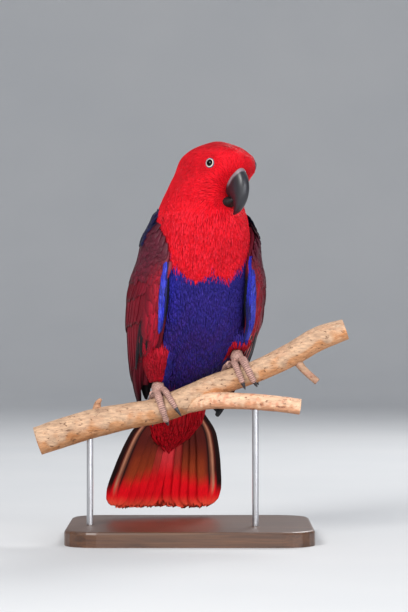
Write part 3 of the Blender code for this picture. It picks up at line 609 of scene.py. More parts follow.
def bark_look(name, stops, dark):
    """Bark: patches of colour, fine cracks along it, pits and small dark flecks."""
    made, tree, shader = new_look(name)
    broad = stretched_noise(tree, 70.0, (0.45, 1, 1), detail=6.0, roughness=0.68)
    fine = stretched_noise(tree, 520.0, (0.22, 1, 1), detail=6.0, roughness=0.72)
    flecks = stretched_noise(tree, 330.0, (0.55, 1, 1), detail=3.0, roughness=0.7)
    base = ramp(tree, broad.outputs[0], stops)
    shade = mixed(tree, 0.5, base.outputs[0], attribute(tree, "markings"))
    streaked = tint(tree, shade, fine.outputs[0], 0.62, 1.25)
    pick = ramp(tree, flecks.outputs[0], ((0.60, (0, 0, 0)), (0.68, (0.85, 0.85, 0.85))))
    spotted = mixed(tree, pick.outputs[0], streaked.outputs[0], (*dark, 1))
    wear(tree, shader, spotted, {"Roughness": 0.74})
    relief = add_node(tree, "ShaderNodeMath", {0: fine.outputs[0], 1: pick.outputs[0]}, operation="SUBTRACT")
    bump(tree, shader, relief.outputs[0], 0.7, 0.0007)
    return made


def horn_look(name, stops, roughness, coat=0.0):
    """Bill and claws: dark horn with faint growth streaks."""
    made, tree, shader = new_look(name)
    streaks = stretched_noise(tree, 260.0, (1, 1, 0.25), detail=5.0)
    base = ramp(tree, streaks.outputs[0], stops)
    lit = mixed(tree, 1.0, base.outputs[0], attribute(tree, "markings"), "ADD")
    wear(tree, shader, lit, {"Roughness": roughness, "Coat Weight": coat, "Coat Roughness": 0.36})
    bump(tree, shader, streaks.outputs[0], 0.18, 0.0004)
    return made


def scaly_look(name):
    """Foot skin: grey-pink scales with darker creases."""
    made, tree, shader = new_look(name)
    where = add_node(tree, "ShaderNodeTexCoord").outputs["Object"]
    cells = {"Vector": where, "Scale": 950.0}
    scales = add_node(tree, "ShaderNodeTexVoronoi", cells, feature="DISTANCE_TO_EDGE")
    crease = ramp(tree, scales.outputs["Distance"], ((0.0, (0.32, 0.32, 0.32)), (0.09, (1, 1, 1))))
    mottle = stretched_noise(tree, 300.0, detail=5.0)
    toned = tint(tree, attribute(tree, "markings"), mottle.outputs[0], 0.7, 1.2)
    shaded = mixed(tree, 0.8, toned.outputs[0], crease.outputs[0], "MULTIPLY")
    wear(tree, shader, shaded, {"Roughness": 0.6})
    bump(tree, shader, crease.outputs[0], 0.5, 0.0003)
    return made


def board_look(name):
    """Oiled dark board with its grain along X."""
    made, tree, shader = new_look(name)
    rings = stretched_noise(tree, 60.0, (0.05, 1, 1), detail=6.0, roughness=0.65)
    pores = stretched_noise(tree, 900.0, (0.03, 1, 1), detail=3.0)
    stops = (
        (0.32, srgb(58, 36, 24)),
        (0.48, srgb(96, 62, 40)),
        (0.56, srgb(74, 46, 30)),
        (0.7, srgb(118, 80, 52)),
    )
    base = ramp(tree, rings.outputs[0], stops)
    grained = tint(tree, base.outputs[0], pores.outputs[0], 0.72, 1.12)
    wear(tree, shader, grained.outputs[0], {"Roughness": 0.42, "Coat Weight": 0.2, "Coat Roughness": 0.35})
    bump(tree, shader, pores.outputs[0], 0.2, 0.0003)
    return made


def steel_look(name):
    """Brushed steel, its fine lines along the rods."""
    made, tree, shader = new_look(name)
    lines = stretched_noise(tree, 1400.0, (1, 1, 0.02), detail=3.0)
    base = ramp(tree, lines.outputs[0], ((0.3, (0.42, 0.42, 0.44)), (0.7, (0.66, 0.66, 0.68))))
    rough = ramp(tree, lines.outputs[0], ((0.3, (0.24,) * 3), (0.7, (0.38,) * 3)))
    wear(tree, shader, base.outputs[0], {"Metallic": 1.0})
    tree.links.new(rough.outputs[0], shader.inputs["Roughness"])
    bump(tree, shader, lines.outputs[0], 0.1, 0.0001)
    return made


def eye_look(name):
    made, tree, shader = new_look(name)
    fibres = stretched_noise(tree, 2600.0, detail=3.0)
    toned = tint(tree, attribute(tree, "markings"), fibres.outputs[0], 0.86, 1.08)
    wear(tree, shader, toned.outputs[0], {"Roughness": 0.04, "Specular IOR Level": 0.16})
    return made


def floor_look(name):
    made, tree, shader = new_look(name)
    cloud = stretched_noise(tree, 3.0, detail=2.0)
    base = ramp(tree, cloud.outputs[0], ((0.3, (0.60, 0.61, 0.62)), (0.7, (0.63, 0.635, 0.64))))
    wear(tree, shader, base.outputs[0], {"Roughness": 0.85})
    return made


coat_look = feather_look("soft_feathers", 0.62, 0.80, 1.14, 0.2 * MM)
long_look = feather_look("long_feathers", 0.48, 0.70, 1.22, 0.25 * MM)
tail_look = feather_look("tail_feathers", 0.5, 0.80, 1.16, 0.2 * MM)
skin_look = feather_look("feathered_skin", 0.8, 0.95, 1.0, 0.05 * MM)

# The head's own frame, its eyes and its bill
HEAD_AXIS = np.array((0.028, -0.033, 0.0))
EYE_AHEAD, EYE_SIDE, EYE_HEIGHT = 0.0165, 0.0245, 0.3446
EYE_RADIUS = 0.0064
EYE_DEPTH = 0.0052


def in_head(ahead, left, height):
    face, side = turned(HEAD_YAW)
    point = HEAD_AXIS + np.asarray(ahead)[..., None] * face + np.asarray(left)[..., None] * side
    point[..., 2] = height
    return point


def eye_place(side):
    """The point of the head's surface over an eye, and the way the eye looks."""
    face, left = turned(HEAD_YAW)
    centre, half, front, _, _ = body.at(np.array(EYE_HEIGHT))
    aim = in_head(EYE_AHEAD, side * EYE_SIDE, EYE_HEIGHT) - centre
    angle = math.atan2(aim @ left / half, aim @ face / front)
    return body.point(EYE_HEIGHT, angle), body.normal(EYE_HEIGHT, angle)


EYES = {side: eye_place(side) for side in (1, -1)}


def round_eye(axis, turn):
    """Directions round an eye's axis, shorter from side to side."""
    first = unit(np.cross(axis, (0.0, 0.0, 1.0)))
    second = np.cross(axis, first)
    return np.cos(turn)[:, None] * first * EYE_NARROWING + np.sin(turn)[:, None] * second


def lathe(centre, axis, profile, sides):
    """Rings round an eye's axis, from pairs of distance along it and radius."""
    spokes = round_eye(axis, turns(sides))
    along, radius = profile.T
    return centre + along[:, None, None] * axis + radius[:, None, None] * spokes


PUPIL = 3.3 * MM
IRIS = 3.95 * MM
LID = 4.2 * MM
EYE_NARROWING = 0.88
LID_THICKNESS = 0.36 * MM
LID_SUNK = 0.25
EYE_SIDES, LID_SIDES = 40, 10
LID_BEADS = 30
PUPIL_TONE, IRIS_TONE, EYE_RIM_TONE = srgb(6, 5, 6), srgb(226, 214, 190), srgb(60, 66, 84)


def build_eye(side, label, look, lid_look):
    """A glossy eyeball with a black pupil and a cream iris, in a thin ring of bare lid."""
    surface, out = EYES[side]
    tilt = np.radians(np.concatenate([np.linspace(-88, 20, 10), np.linspace(25, 89, 30)]))
    profile = np.stack([EYE_RADIUS * np.sin(tilt), EYE_RADIUS * np.cos(tilt)], axis=-1)
    eye = tube_mesh("eyeball_" + label, lathe(surface - out * EYE_DEPTH, out, profile, EYE_SIDES), look)
    ahead, radius = profile.T
    pupil = step_between(PUPIL + 0.1 * MM, PUPIL - 0.1 * MM, radius) * (ahead > 0)
    iris = step_between(IRIS + 0.1 * MM, IRIS - 0.15 * MM, radius) * (ahead > 0)
    shade = blend_of(blend_of(EYE_RIM_TONE, IRIS_TONE, iris), PUPIL_TONE, pupil)
    paint_tube(eye, np.repeat(shade[:, None], EYE_SIDES, axis=1))
    settle(eye, "eye", "eye_" + label)
    turn = np.linspace(0, 2 * np.pi, 73)
    line = surface - out * LID_SUNK * MM + LID * round_eye(out, turn)
    bead = np.sin(turn * LID_BEADS)
    rings = tube_rings(line, LID_THICKNESS * (1 + 0.16 * bead), LID_SIDES)
    lid = tube_mesh("lid_" + label, rings, lid_look)
    lid_tone = blend_of(srgb(128, 124, 150), srgb(84, 78, 110), 0.5 + 0.5 * bead)
    paint_tube(lid, np.repeat(lid_tone[:, None], LID_SIDES, axis=1))
    settle(lid, "foot_skin")


CULMEN_AHEAD, CULMEN_HEIGHT = 0.0168, 0.325
CULMEN_RADIUS, CULMEN_TIP_RADIUS = 0.021, 0.0272
CULMEN_REACH = 0.90
CULMEN_START, CULMEN_END = math.radians(66), math.radians(-85)
BILL_HALF_WIDTH, JAW_HALF_WIDTH = 0.0079, 0.0076
CUTTING_EDGE = ((0.008, 0.321), (0.0145, 0.315), (0.0196, 0.3123), (0.0220, 0.3060), (0.0203, 0.2985))
BILL_FULLNESS = 0.8
BILL_RIM = (1.035, 1.065)
RIM_LOW = 0.322
JAW_START, JAW_LENGTH = 0.004, 0.0178
JAW_TOP, JAW_FALL, JAW_DEPTH = 0.3165, 0.003, 0.0125
BILL_RIM_TONE = srgb(124, 114, 120)


def bill_rings(top, bottom, half, sides):
    """Rings between the top and the bottom of the bill's midline, a little fuller than ellipses."""
    turn = turns(sides)
    side = turned(HEAD_YAW)[1]
    middle, up = (top + bottom) / 2, (top - bottom) / 2
    reach = np.sign(np.cos(turn)) * np.abs(np.cos(turn)) ** BILL_FULLNESS
    return (
        middle[:, None]
        + up[:, None] * np.sin(turn)[None, :, None]
        + side * (half[:, None] * reach)[..., None]
    )


def build_bill(look, jaw_look):
    """The upper bill with its hooked tip and pale top border, and the lower one behind it."""
    rows, sides = 44, 36
    t = np.linspace(0, 0.985, rows)
    angle = CULMEN_START + (CULMEN_END - CULMEN_START) * t
    radius = CULMEN_RADIUS + (CULMEN_TIP_RADIUS - CULMEN_RADIUS) * t
    ahead = CULMEN_AHEAD + CULMEN_REACH * radius * np.cos(angle)
    culmen = in_head(ahead, np.zeros(rows), CULMEN_HEIGHT + radius * np.sin(angle))
    knots = np.array([in_head(a, 0.0, z) for a, z in CUTTING_EDGE])
    lower_line = curve_through(knots, 200)[np.round(t * 199).astype(int)]
    half = BILL_HALF_WIDTH * (1 - 0.80 * t**2.2)
    upper = tube_mesh("bill_upper_horn", bill_rings(culmen, lower_line, half, sides), look)
    points = np.array([v.co for v in upper.data.vertices])
    rim = step_between(BILL_RIM[1], BILL_RIM[0], body.beside(points))
    rim = rim * step_between(RIM_LOW, RIM_LOW + 6 * MM, points[:, 2])
    paint(upper, rim[:, None] * BILL_RIM_TONE)
    settle(upper, "black_horn", "bill_upper")
    rows = 20
    t = np.linspace(0, 1, rows)
    ahead, height = JAW_START + JAW_LENGTH * t, JAW_TOP - JAW_FALL * t
    depth = JAW_DEPTH * (1 - 0.72 * t * t)
    half = JAW_HALF_WIDTH * np.sqrt(1 - 0.75 * t * t)
    top, bottom = (in_head(ahead, np.zeros(rows), z) for z in (height, height - depth))
    lower = tube_mesh("bill_lower_horn", bill_rings(top, bottom, half, sides), jaw_look)
    paint_all(lower, (0.0, 0.0, 0.0))
    settle(lower, "black_horn", "bill_lower")
    return upper, lower


# The skin: one body for torso, neck, head and thighs


def grid_body(sections, low, high, rows, columns):
    """The whole closed body through level sections."""
    run = np.linspace(*np.interp((low, high), sections.run_heights, sections.run), rows)
    z = np.interp(run, sections.run, sections.run_heights)
    angle = np.linspace(-np.pi, np.pi, columns, endpoint=False)
    return sections.point(z[:, None], angle[None, :])


SKIN_VOXEL = 1.3 * MM


def join_into(whole, pieces):
    chosen = {"active_object": whole, "object": whole, "selected_editable_objects": [whole, *pieces]}
    with bpy.context.temp_override(**chosen):
        bpy.ops.object.join()


def build_skin():
    """The body and legs as one remeshed skin, sunk under its coat, less so round the eyes."""
    trunk = tube_mesh("skin", grid_body(body, body.low, body.high, 150, 120), skin_look)
    legs = []
    for label in ("left", "right"):
        leg = nodes["leg_" + label].copy()
        leg.data = leg.data.copy()
        leg.parent = None
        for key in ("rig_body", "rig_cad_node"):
            del leg[key]
        bpy.context.scene.collection.objects.link(leg)
        legs.append(leg)
    join_into(trunk, legs)
    shape = trunk.modifiers.new("even", "REMESH")
    shape.mode = "VOXEL"
    shape.voxel_size = SKIN_VOXEL
    relax = trunk.modifiers.new("relax", "SMOOTH")
    relax.factor = 0.5
    relax.iterations = 10
    graph = bpy.context.evaluated_depsgraph_get()
    mesh = bpy.data.meshes.new_from_object(trunk.evaluated_get(graph))
    trunk.modifiers.clear()
    trunk.data = mesh
    mesh.name = "skin"
    points, normals = (read_vectors(mesh.vertices, key) for key in ("co", "normal"))
    depth = COAT_DEPTH * (0.35 + 0.65 * step_between(5 * MM, 13 * MM, eye_distance(points)))
    points = points - normals * depth[:, None]
    mesh.vertices.foreach_set("co", points.astype(np.float32).ravel())
    mesh.polygons.foreach_set("use_smooth", np.full(len(mesh.polygons), True))
    mesh.update()
    mesh.materials.clear()
    mesh.materials.append(skin_look)
    # The coat's markings at 0.7 of their brightness: painted shade under the coat
    paint(trunk, marking(points, 0.0) * 0.7)
    settle(trunk, "red_feathers", "head", "neck", "torso", "leg_left", "leg_right")
    return trunk


# Markings of the coat

BIB_FRONT, BIB_SIDE = 0.2372, 0.2570
BIB_TOOTH, BIB_TEETH = 2.6 * MM, 10.8
NAPE_EDGE, MANTLE_EDGE = 0.2820, 0.2560
VENT_EDGE = 0.1310
# How much painted shade darkens the top of the crown, against the light from above
CROWN_PAINTED_SHADE = 0.30
LEG_MARGIN = 1.06
THIGH_INNER = {1: 45.0 * MM, -1: 30.0 * MM}
THIGH_LOW, THIGH_RIM, THIGH_TOP, LEG_TOP = 0.1, 0.1765, 0.197, 0.2
# How far round from straight ahead the back begins, in radians
BACK_TURN = 1.9


def bib_edge(angle):
    """The height where the red bib gives way to violet in front, and to blue and maroon behind."""
    away = np.abs(angle)
    front = BIB_FRONT + (BIB_SIDE - BIB_FRONT) * step_between(0.40, 1.05, away)
    teeth = BIB_TOOTH * np.cos(BIB_TEETH * (angle + 0.25)) * step_between(0.75, 0.5, away)
    return front - teeth + (NAPE_EDGE - BIB_SIDE) * step_between(1.2, 2.0, away)


def on_thigh(points):
    """Whether places on a leg are on its crimson outer side, or on the rim just above the foot."""
    across = body.around(points)[1]
    outside = (across > THIGH_INNER[1]) | (across < -THIGH_INNER[-1])
    return outside | ((across > 0) & (points[:, 2] < THIGH_RIM))


def marking(points, wobble):
    """The coat's colour at places on the body. wobble, in metres, blurs the edges between colours."""
    angle = body.angle_of(points)
    z = points[:, 2] + wobble
    away = np.abs(angle)
    ahead = away < BACK_TURN
    under = blend_of(MAROON, VIOLET, ahead)
    mantle = step_between(MANTLE_EDGE - 4 * MM, MANTLE_EDGE + 4 * MM, z) * step_between(1.3, 1.7, away)
    under = blend_of(under, NAVY, mantle)
    bright = step_between(-0.35, -0.75, angle) * step_between(0.19, 0.21, z) * 0.5
    under = blend_of(under, BLUE, bright * ahead)
    cloud = np.sin(z * 410 + np.sin(angle * 7.0) * 2.0) * np.cos(angle * 9.0 + z * 230)
    under = blend_of(under, PURPLE, step_between(0.25, 0.16, z) * (0.32 + 0.3 * cloud) * ahead)
    edge = bib_edge(angle)
    colour = blend_of(under, SCARLET, step_between(edge - 1.0 * MM, edge + 1.0 * MM, z))
    # Painted shade: the top of the crown darker
    colour = colour * (1 - CROWN_PAINTED_SHADE * step_between(0.351, 0.364, z))[:, None]
    leg = (body.beside(points) > LEG_MARGIN) & (points[:, 2] < LEG_TOP)
    colour = np.where((leg & on_thigh(points))[:, None], THIGH, colour)
    return blend_of(colour, VENT, step_between(VENT_EDGE + 6 * MM, VENT_EDGE - 6 * MM, z) * ~leg)


# The lie of the coat

BILL_BASE = in_head(0.010, 0.0, 0.3250)
TAIL_DOWN = unit(np.array((-0.12, 0.48, -0.87)))


def coat_field(points):
    """The way the feathers point at places on the skin."""
    from_bill = points - BILL_BASE
    far = np.linalg.norm(from_bill, axis=-1)
    flow = blend_of(unit(from_bill), np.array((0.0, 0.0, -1.0)), step_between(14 * MM, 62 * MM, far) * 0.85)
    flow = blend_of(flow, TAIL_DOWN, step_between(0.17, 0.13, points[:, 2]))
    for surface, _ in EYES.values():
        off = points - surface
        gap = np.linalg.norm(off, axis=-1)
        flow = flow + unit(off) * (1.6 * step_between(9.5 * MM, 4.5 * MM, gap))[:, None]
    return unit(flow)


def on_skin(tree, points):
    """The nearest places on the skin, and its normals there."""
    found = [tree.find_nearest(Vector(p)) for p in points]
    return np.array([f[0] for f in found]), np.array([f[1] for f in found])


def lay_lines(tree, starts, lengths, rows, stray):
    """Lines that start at roots and follow the lie of the coat over the skin."""
    centre = np.empty((len(starts), rows, 3))
    out = np.empty_like(centre)
    here = starts
    turn = rng.normal(0, stray, len(starts))
    for row in range(rows):
        here, normal = on_skin(tree, here)
        centre[:, row], out[:, row] = here, normal
        flow = coat_field(here)
        flow = unit(flow - (flow * normal).sum(-1, keepdims=True) * normal)
        sideways = np.cross(normal, flow)
        flow = np.cos(turn)[:, None] * flow + np.sin(turn)[:, None] * sideways
        here = here + flow * (lengths / (rows - 1))[:, None]
    return centre, out


COAT_THICKNESS = 0.22 * MM
SHORT_SHAPE = ((0.0, 0.6), (0.4, 1.0), (0.75, 0.78), (1.0, 0.12))
ROUND_SHAPE = ((0.0, 0.55), (0.45, 1.0), (0.82, 0.86), (1.0, 0.30))


def body_coat(name, slot, tree, starts, lengths, widths, rows, profile, lift, stray, tones, spread):
    """Coat pieces for both sides, of vanes from roots on the skin."""
    centre, out = lay_lines(tree, starts, lengths, rows, stray)
    t = np.linspace(0, 1, rows)
    low, high = lift
    height = low + (high - low) * t**0.8
    height = height[None] + rng.uniform(0, spread, len(starts))[:, None] * t[None] ** 2
    centre = centre + out * height[..., None]
    along = unit(np.gradient(centre, axis=1))
    out = unit(out - (out * along).sum(-1, keepdims=True) * along)
    across = np.cross(along, out)
    half = widths[:, None] / 2 * shape_of(profile, rows)[None]
    colour = np.repeat(tones(centre, t)[:, :, None], len(BLADE), axis=2)
    angle = body.angle_of(centre[:, 0])
    place = body.place(np.clip(centre[:, 0, 2], body.low, body.high), angle)
    for label, own in (("left", angle > 0), ("right", angle <= 0)):
        made = vane_mesh(
            f"{name}_{label}", centre[own], across[own], out[own], half[own], BLADE, COAT_THICKNESS,
            colour[own], place[own], coat_look,
        )
        settle(made, slot)


def varied(colour, amount):
    """Colours with a small change of brightness for each feather."""
    factor = 1 + rng.uniform(-amount, amount, len(colour))
    return colour * factor.reshape(-1, *([1] * (colour.ndim - 1)))


# How bright a feather's root stays under its painted shade
ROOT_PAINTED_SHADE = 0.90


def shade_roots(tones, t):
    """Tones along feathers, with painted shade from their roots to half way, where the feathers over them
    lie.
    """
    return tones * (ROOT_PAINTED_SHADE + (1 - ROOT_PAINTED_SHADE) * np.minimum(t * 2.0, 1.0))[None, :, None]


def coat_tones(amount, tip_light, ragged):
    """Tones of the coat: each feather takes the marking at its tip, with some of them paler there."""

    def tones(centre, t):
        wobble = rng.normal(0, ragged, len(centre))
        base = marking(centre[:, -1], wobble)
        red = step_between(1.2, 2.5, base[:, 0] / base[:, 2])
        light = blend_of(PALE_VIOLET, ROSE, red)
        base = varied(base, amount)
        pale = (tip_light * rng.uniform(0, 1, len(centre)) ** 2)[:, None] * t[None]
        return shade_roots(blend_of(base[:, None], light[:, None], pale), t)

    return tones


COVERED_FROM = 0.118
BILL_SEARCH = 0.03
HEAD_COAT_LOW, HEAD_COAT_HIGH = 0.3035, 0.3664


def covered_by_wing(z, angle, margin):
    """Whether a place on the body is under a folded wing by more than a margin, in radians."""
    covered = np.zeros(len(z), bool)
    for side in (1, -1):
        top = WING_EDGES[side][-1][0] * MM
        turn = angle * side
        inside = (turn > wing_edge(side, z, 1) + margin) & (turn < wing_edge(side, z, 2) - margin)
        covered |= inside & (z < top - 10 * MM) & (z > COVERED_FROM)
    return covered


def eye_distance(points):
    """How far places are from the middle of the nearer eye."""
    return np.min([np.linalg.norm(points - surface, axis=1) for surface, _ in EYES.values()], axis=0)


def mesh_tree(made):
    corners = [v.co for v in made.data.vertices]
    return BVHTree.FromPolygons(corners, [p.vertices for p in made.data.polygons])


def bill_distance(trees, points):
    """How far places are from the nearer half of the bill: below 0 inside it, and 1 where it is far off."""
    gaps = np.ones(len(points))
    for i, p in enumerate(points):
        for bill in trees:
            near, normal, _, gap = bill.find_nearest(Vector(p), BILL_SEARCH)
            if near is not None:
                inside = (Vector(p) - near).dot(normal) < 0
                gaps[i] = min(gaps[i], -gap if inside else gap)
    return gaps


def build_head_coat(tree, bills):
    """Short tufts, smallest round the bill and the eyes."""
    z, angle = body.spots(HEAD_COAT_LOW, HEAD_COAT_HIGH, 1.15 * MM, 1.2 * MM)
    starts = body.point(z, angle, COAT_DEPTH)
    gap = bill_distance([mesh_tree(bill) for bill in bills], starts)
    eye_gap = eye_distance(starts)
    keep = (gap > 0.2 * MM) & (eye_gap > LID + 0.25 * MM)
    starts, gap, eye_gap = starts[keep], gap[keep], eye_gap[keep]
    grow = step_between(0.0, 16 * MM, np.minimum(gap, eye_gap - LID))
    lengths = (1.8 + 5.2 * grow) * MM * rng.uniform(0.85, 1.15, len(starts))
    widths = (0.7 + 0.7 * grow) * MM
    body_coat(
        "coat_head", "red_feathers", tree, starts, lengths, widths, 4, SHORT_SHAPE,
        (-0.2 * MM, 0.75 * MM), 0.07, coat_tones(0.09, 0.25, 1.0 * MM), 0.12 * MM,
    )


# The neck and breast's long, fine, loose feathers, and broader ones on the belly, back and vent: name,
# slot, heights of the roots, their pitches, wing margin in degrees, lengths, widths, rows, shape, lift of
# root and tip, tones as for coat_tones, and how much the lift differs, most of them in millimetres
BODY_COATS = (
    (
        "coat_breast", "red_feathers", (0.2420, 0.3080), (1.6, 1.3), 14, (9, 14), (0.9, 1.5), 6,
        SHORT_SHAPE, (-0.3, 1.05), (0.12, 0.55, 2.2 * MM), 0.35,
    ),
    (
        "coat_belly", "violet_feathers", (0.1200, 0.2560), (2.2, 1.9), 12, (10, 14), (1.8, 2.8), 5,
        ROUND_SHAPE, (-0.3, 0.9), (0.13, 0.2, 2.0 * MM), 0.15,
    ),
)


def build_body_coat(tree):
    """The coat of the neck, breast, belly, back and vent, apart from where the wings cover it."""
    for name, slot, heights, pitch, margin, long, wide, rows, shape, lift, tones, spread in BODY_COATS:
        z, angle = body.spots(*heights, pitch[0] * MM, pitch[1] * MM)
        keep = ~covered_by_wing(z, angle, math.radians(margin))
        starts = body.point(z[keep], angle[keep], COAT_DEPTH)
        lengths = rng.uniform(*long, len(starts)) * MM
        widths = rng.uniform(*wide, len(starts)) * MM
        body_coat(
            name, slot, tree, starts, lengths, widths, rows, shape, (lift[0] * MM, lift[1] * MM), 0.07,
            coat_tones(*tones), spread * MM,
        )


def build_thigh_coat(tree, skin):
    """Feathers of the thighs, rooted on the skin's own faces there."""
    centres = read_vectors(skin.data.polygons, "center")
    keep = (body.beside(centres) > 0.97) & (centres[:, 2] < THIGH_TOP) & (centres[:, 2] > THIGH_LOW)
    turn = np.abs(body.angle_of(centres))
    keep &= (turn > math.radians(24)) & (turn < math.radians(115))
    starts = centres[keep]
    starts = starts[rng.random(len(starts)) < 0.5]
    lengths = rng.uniform(11.0, 18.0, len(starts)) * MM
    widths = rng.uniform(1.3, 2.2, len(starts)) * MM

    def tones(centre, t):
        base = np.where(on_thigh(centre[:, -1])[:, None], THIGH, VIOLET)
        base = varied(base, 0.16)
        pale = 0.4 * rng.uniform(0, 1, len(centre)) ** 2 * (base[:, 0] > base[:, 2])
        return shade_roots(blend_of(base[:, None], SCARLET, pale[:, None] * t[None]), t)

    body_coat(
        "coat_thighs", "crimson_feathers", tree, starts, lengths, widths, 6, SHORT_SHAPE,
        (-0.4 * MM, 1.3 * MM), 0.10, tones, 0.9 * MM,
    )


# The wings

CORE_INSET, CORE_LOW = 3.6 * MM, 0.142
WING_BEND = 0.055
LESSER_LOW, LESSER_ROW, LESSER_PITCH = 0.250, 3.6 * MM, 4.6 * MM / 0.060
MANTLE_LOW, MANTLE_HIGH, MANTLE_ROW = 0.280, 0.304, 2.6 * MM
MANTLE_START, MANTLE_PITCH = math.radians(84.0), 4.6 * MM / 0.046


def core_painted_shade(z):
    """How much painted shade blackens the wing under its feathers: only along the blue strip, for the shadow
    gap beside it.
    """
    return step_between(0.198, 0.208, z) * step_between(0.250, 0.238, z)


def build_wing_core(side, label):
    """The wing under its feathers: a smooth curved slab, thin at its edges and lower end."""
    rows, columns = 60, 40
    top = WING_EDGES[side][-1][0] * MM
    z = np.linspace(CORE_LOW, top, rows)
    u = np.linspace(0, 1, columns)
    front, back, thick = (wing_edge(side, z, c) for c in (1, 2, 3))
    angle = side * (front[:, None] + (back - front)[:, None] * u)
    rim = 1 - np.abs(2 * u - 1) ** 3
    depth = np.maximum(thick[:, None] * (0.35 + 0.65 * rim), 0.8 * MM)
    heights = np.broadcast_to(z[:, None], angle.shape)
    outer = wing.point(heights, angle, CORE_INSET)
    inner = wing.point(heights, angle, CORE_INSET + depth)
    core = tube_mesh("wing_core_" + label, np.concatenate([outer, inner[:, ::-1]], axis=1), skin_look)
    # Maroon, blackened by painted shade along the blue strip
    shade = blend_of(MAROON, BLACK, core_painted_shade(z)[:, None] * np.ones(columns))
    paint_tube(core, np.concatenate([shade, shade[:, ::-1]], axis=1))
    settle(core, "crimson_feathers", "wing_" + label)


def wing_tone(side, z, angle):
    """The wing's colour at heights and angles."""
    past = np.abs(angle) - wing_edge(side, z, 1)
    base = blend_of(WINE, DULL_MAROON, step_between(0.215, 0.258, z))
    front = step_between(0.45, 0.22, past) * step_between(0.262, 0.232, z)
    return blend_of(base, FRONT_RED, front * 0.85)


def wing_vanes(name, side, roots, tips, widths, lies, rows, columns, profile, thick, tones, tilt):
    """Feathers lying on the wing's outer face, from sunk roots to free tips."""
    t = np.linspace(0, 1, rows)
    z = roots[:, 0, None] + (tips[:, 0] - roots[:, 0])[:, None] * t
    turn = roots[:, 1, None] + (tips[:, 1] - roots[:, 1])[:, None] * t
    angle = side * turn
    centre = wing.point(z, angle)
    normal = wing.normal(z, angle)
    along = unit(np.gradient(centre, axis=1))
    out = unit(normal - (normal * along).sum(-1, keepdims=True) * along)
    across = np.cross(out, along) * side
    root_lie, tip_lie = lies
    lie = root_lie + (tip_lie - root_lie) * step_between(0.0, 0.75, t)
    centre = centre - out * (lie + rng.uniform(-0.1, 0.1, len(roots))[:, None] * MM)[..., None]
    half = widths[:, None] / 2 * shape_of(profile, rows)[None]
    ring = broad_ring(columns)
    colour = tones(z, turn, t, ring)
    up = 0.03 + 0.94 * (roots[:, 0] - wing.low) / (wing.high - wing.low)
    place = np.stack([0.05 + 0.9 * roots[:, 1] / np.pi, up], axis=-1)
    return vane_mesh(
        name, centre, across, out, half, ring, thick, colour, place, long_look, tilt=-tilt, bend=WING_BEND
    )


FLIGHT_SHAPE = ((0.0, 0.5), (0.25, 0.92), (0.6, 1.0), (0.85, 0.86), (0.95, 0.62), (1.0, 0.3))
COVERT_SHAPE = ((0.0, 0.55), (0.4, 1.0), (0.78, 0.92), (0.93, 0.62), (1.0, 0.25))


# The tiers of a wing's long feathers, the lowest first: name, count, height and angle of the first root,
# their steps towards the back, tip heights, angle of the first tip and its step, rows along a feather,
# width, how deep root and tip lie, thickness, and tones as for vane_tones, with None for the wing's own
TIERS = (
    (
        "primaries", 10, (196, 60), (0, 5), (136, 124, 113, 109.5, 117), (71, 11.6),
        22, 12.5, (3.6, 2.6), 0.5, (MAROON, BLACK, -0.6, BLACK, 1.0, BLACK, 0.6),
    ),
    (
        "inner_primaries", 6, (176, 50), (0, 5), (137, 130, 125), (49, 7),
        14, 9, (8, 6.5), 0.4, (BLACK, BLACK, 0, BLACK, 0.5),
    ),
    (
        "secondaries", 13, (222, 61), (-1.5, 18.5), (163, 155, 147, 141, 137), (66, 16.8),
        22, 13, (3.2, 1.9), 0.5, (WINE, BLACK, 0.05, NAVY, 0.95, MAROON, 0.7),
    ),
    (
        "greater_coverts", 16, (248, 58), (0, 21.5), (201, 196, 192, 190, 190), (62, 21.6),
        16, 12, (2.9, 1.3), 0.45, (None, BLACK, 0.5, MAROON, 0.75),
    ),
    (
        "median_coverts_0", 18, (262, 60), (0, 23.5), (224, 219, 218, 219), (62, 24),
        12, 10.5, (2.5, 0.95), 0.4, (None, BLACK, 0.6, DULL_MAROON, 0.55),
    ),
    (
        "median_coverts_1", 18, (273, 60), (0, 23.5), (240, 236, 235, 236), (62, 24),
        12, 10.5, (2.5, 0.7), 0.4, (None, BLACK, 0.6, DULL_MAROON, 0.55),
    ),
)


def tier(side, count, root, step, tips, tip_turn, drop):
    """Roots and tips of a tier of feathers from front to back."""
    i = np.linspace(0, len(tips) - 1, count)
    front = np.degrees(wing_edge(side, np.full(count, (root[0] - drop) * MM), 1))
    root_angle = np.maximum(root[1] + step[1] * i, front + 5.0)
    roots = np.stack([(root[0] - drop + step[0] * i) * MM, np.radians(root_angle)], axis=-1)
    height = np.interp(i, range(len(tips)), tips) - drop + rng.uniform(-1.2, 1.2, count)
    turn = tip_turn[0] + tip_turn[1] * i + rng.uniform(-0.8, 0.8, count)
    return roots, np.stack([height * MM, np.radians(turn)], axis=-1)


def vane_tones(base, edge, edge_from, shaft, hind_dark, tip=None, tip_from=0.8):
    """Tones across and along a long feather: a coloured front web, a dark hind web and a dark shaft."""

    def tones(z, turn, t, ring):
        c = ring[:, 0]
        field = varied(base(z, turn)[:, :, None], 0.24)
        field = blend_of(field, edge, step_between(edge_from - 0.08, edge_from + 0.08, c) * hind_dark)
        field = blend_of(field, shaft, step_between(0.10, 0.03, np.abs(c)) * 0.7)
        if tip is not None:
            field = blend_of(field, tip, step_between(tip_from, 1.0, t)[:, None])
        return field

    return tones


def plain(tone):
    return lambda z, turn: np.broadcast_to(tone, (*z.shape, 3))


def own_tone(side):
    """Each feather all in the wing's colour near its tip."""
    return lambda z, turn: np.repeat(wing_tone(side, z[:, -2:-1], turn[:, -2:-1]), z.shape[1], axis=1)


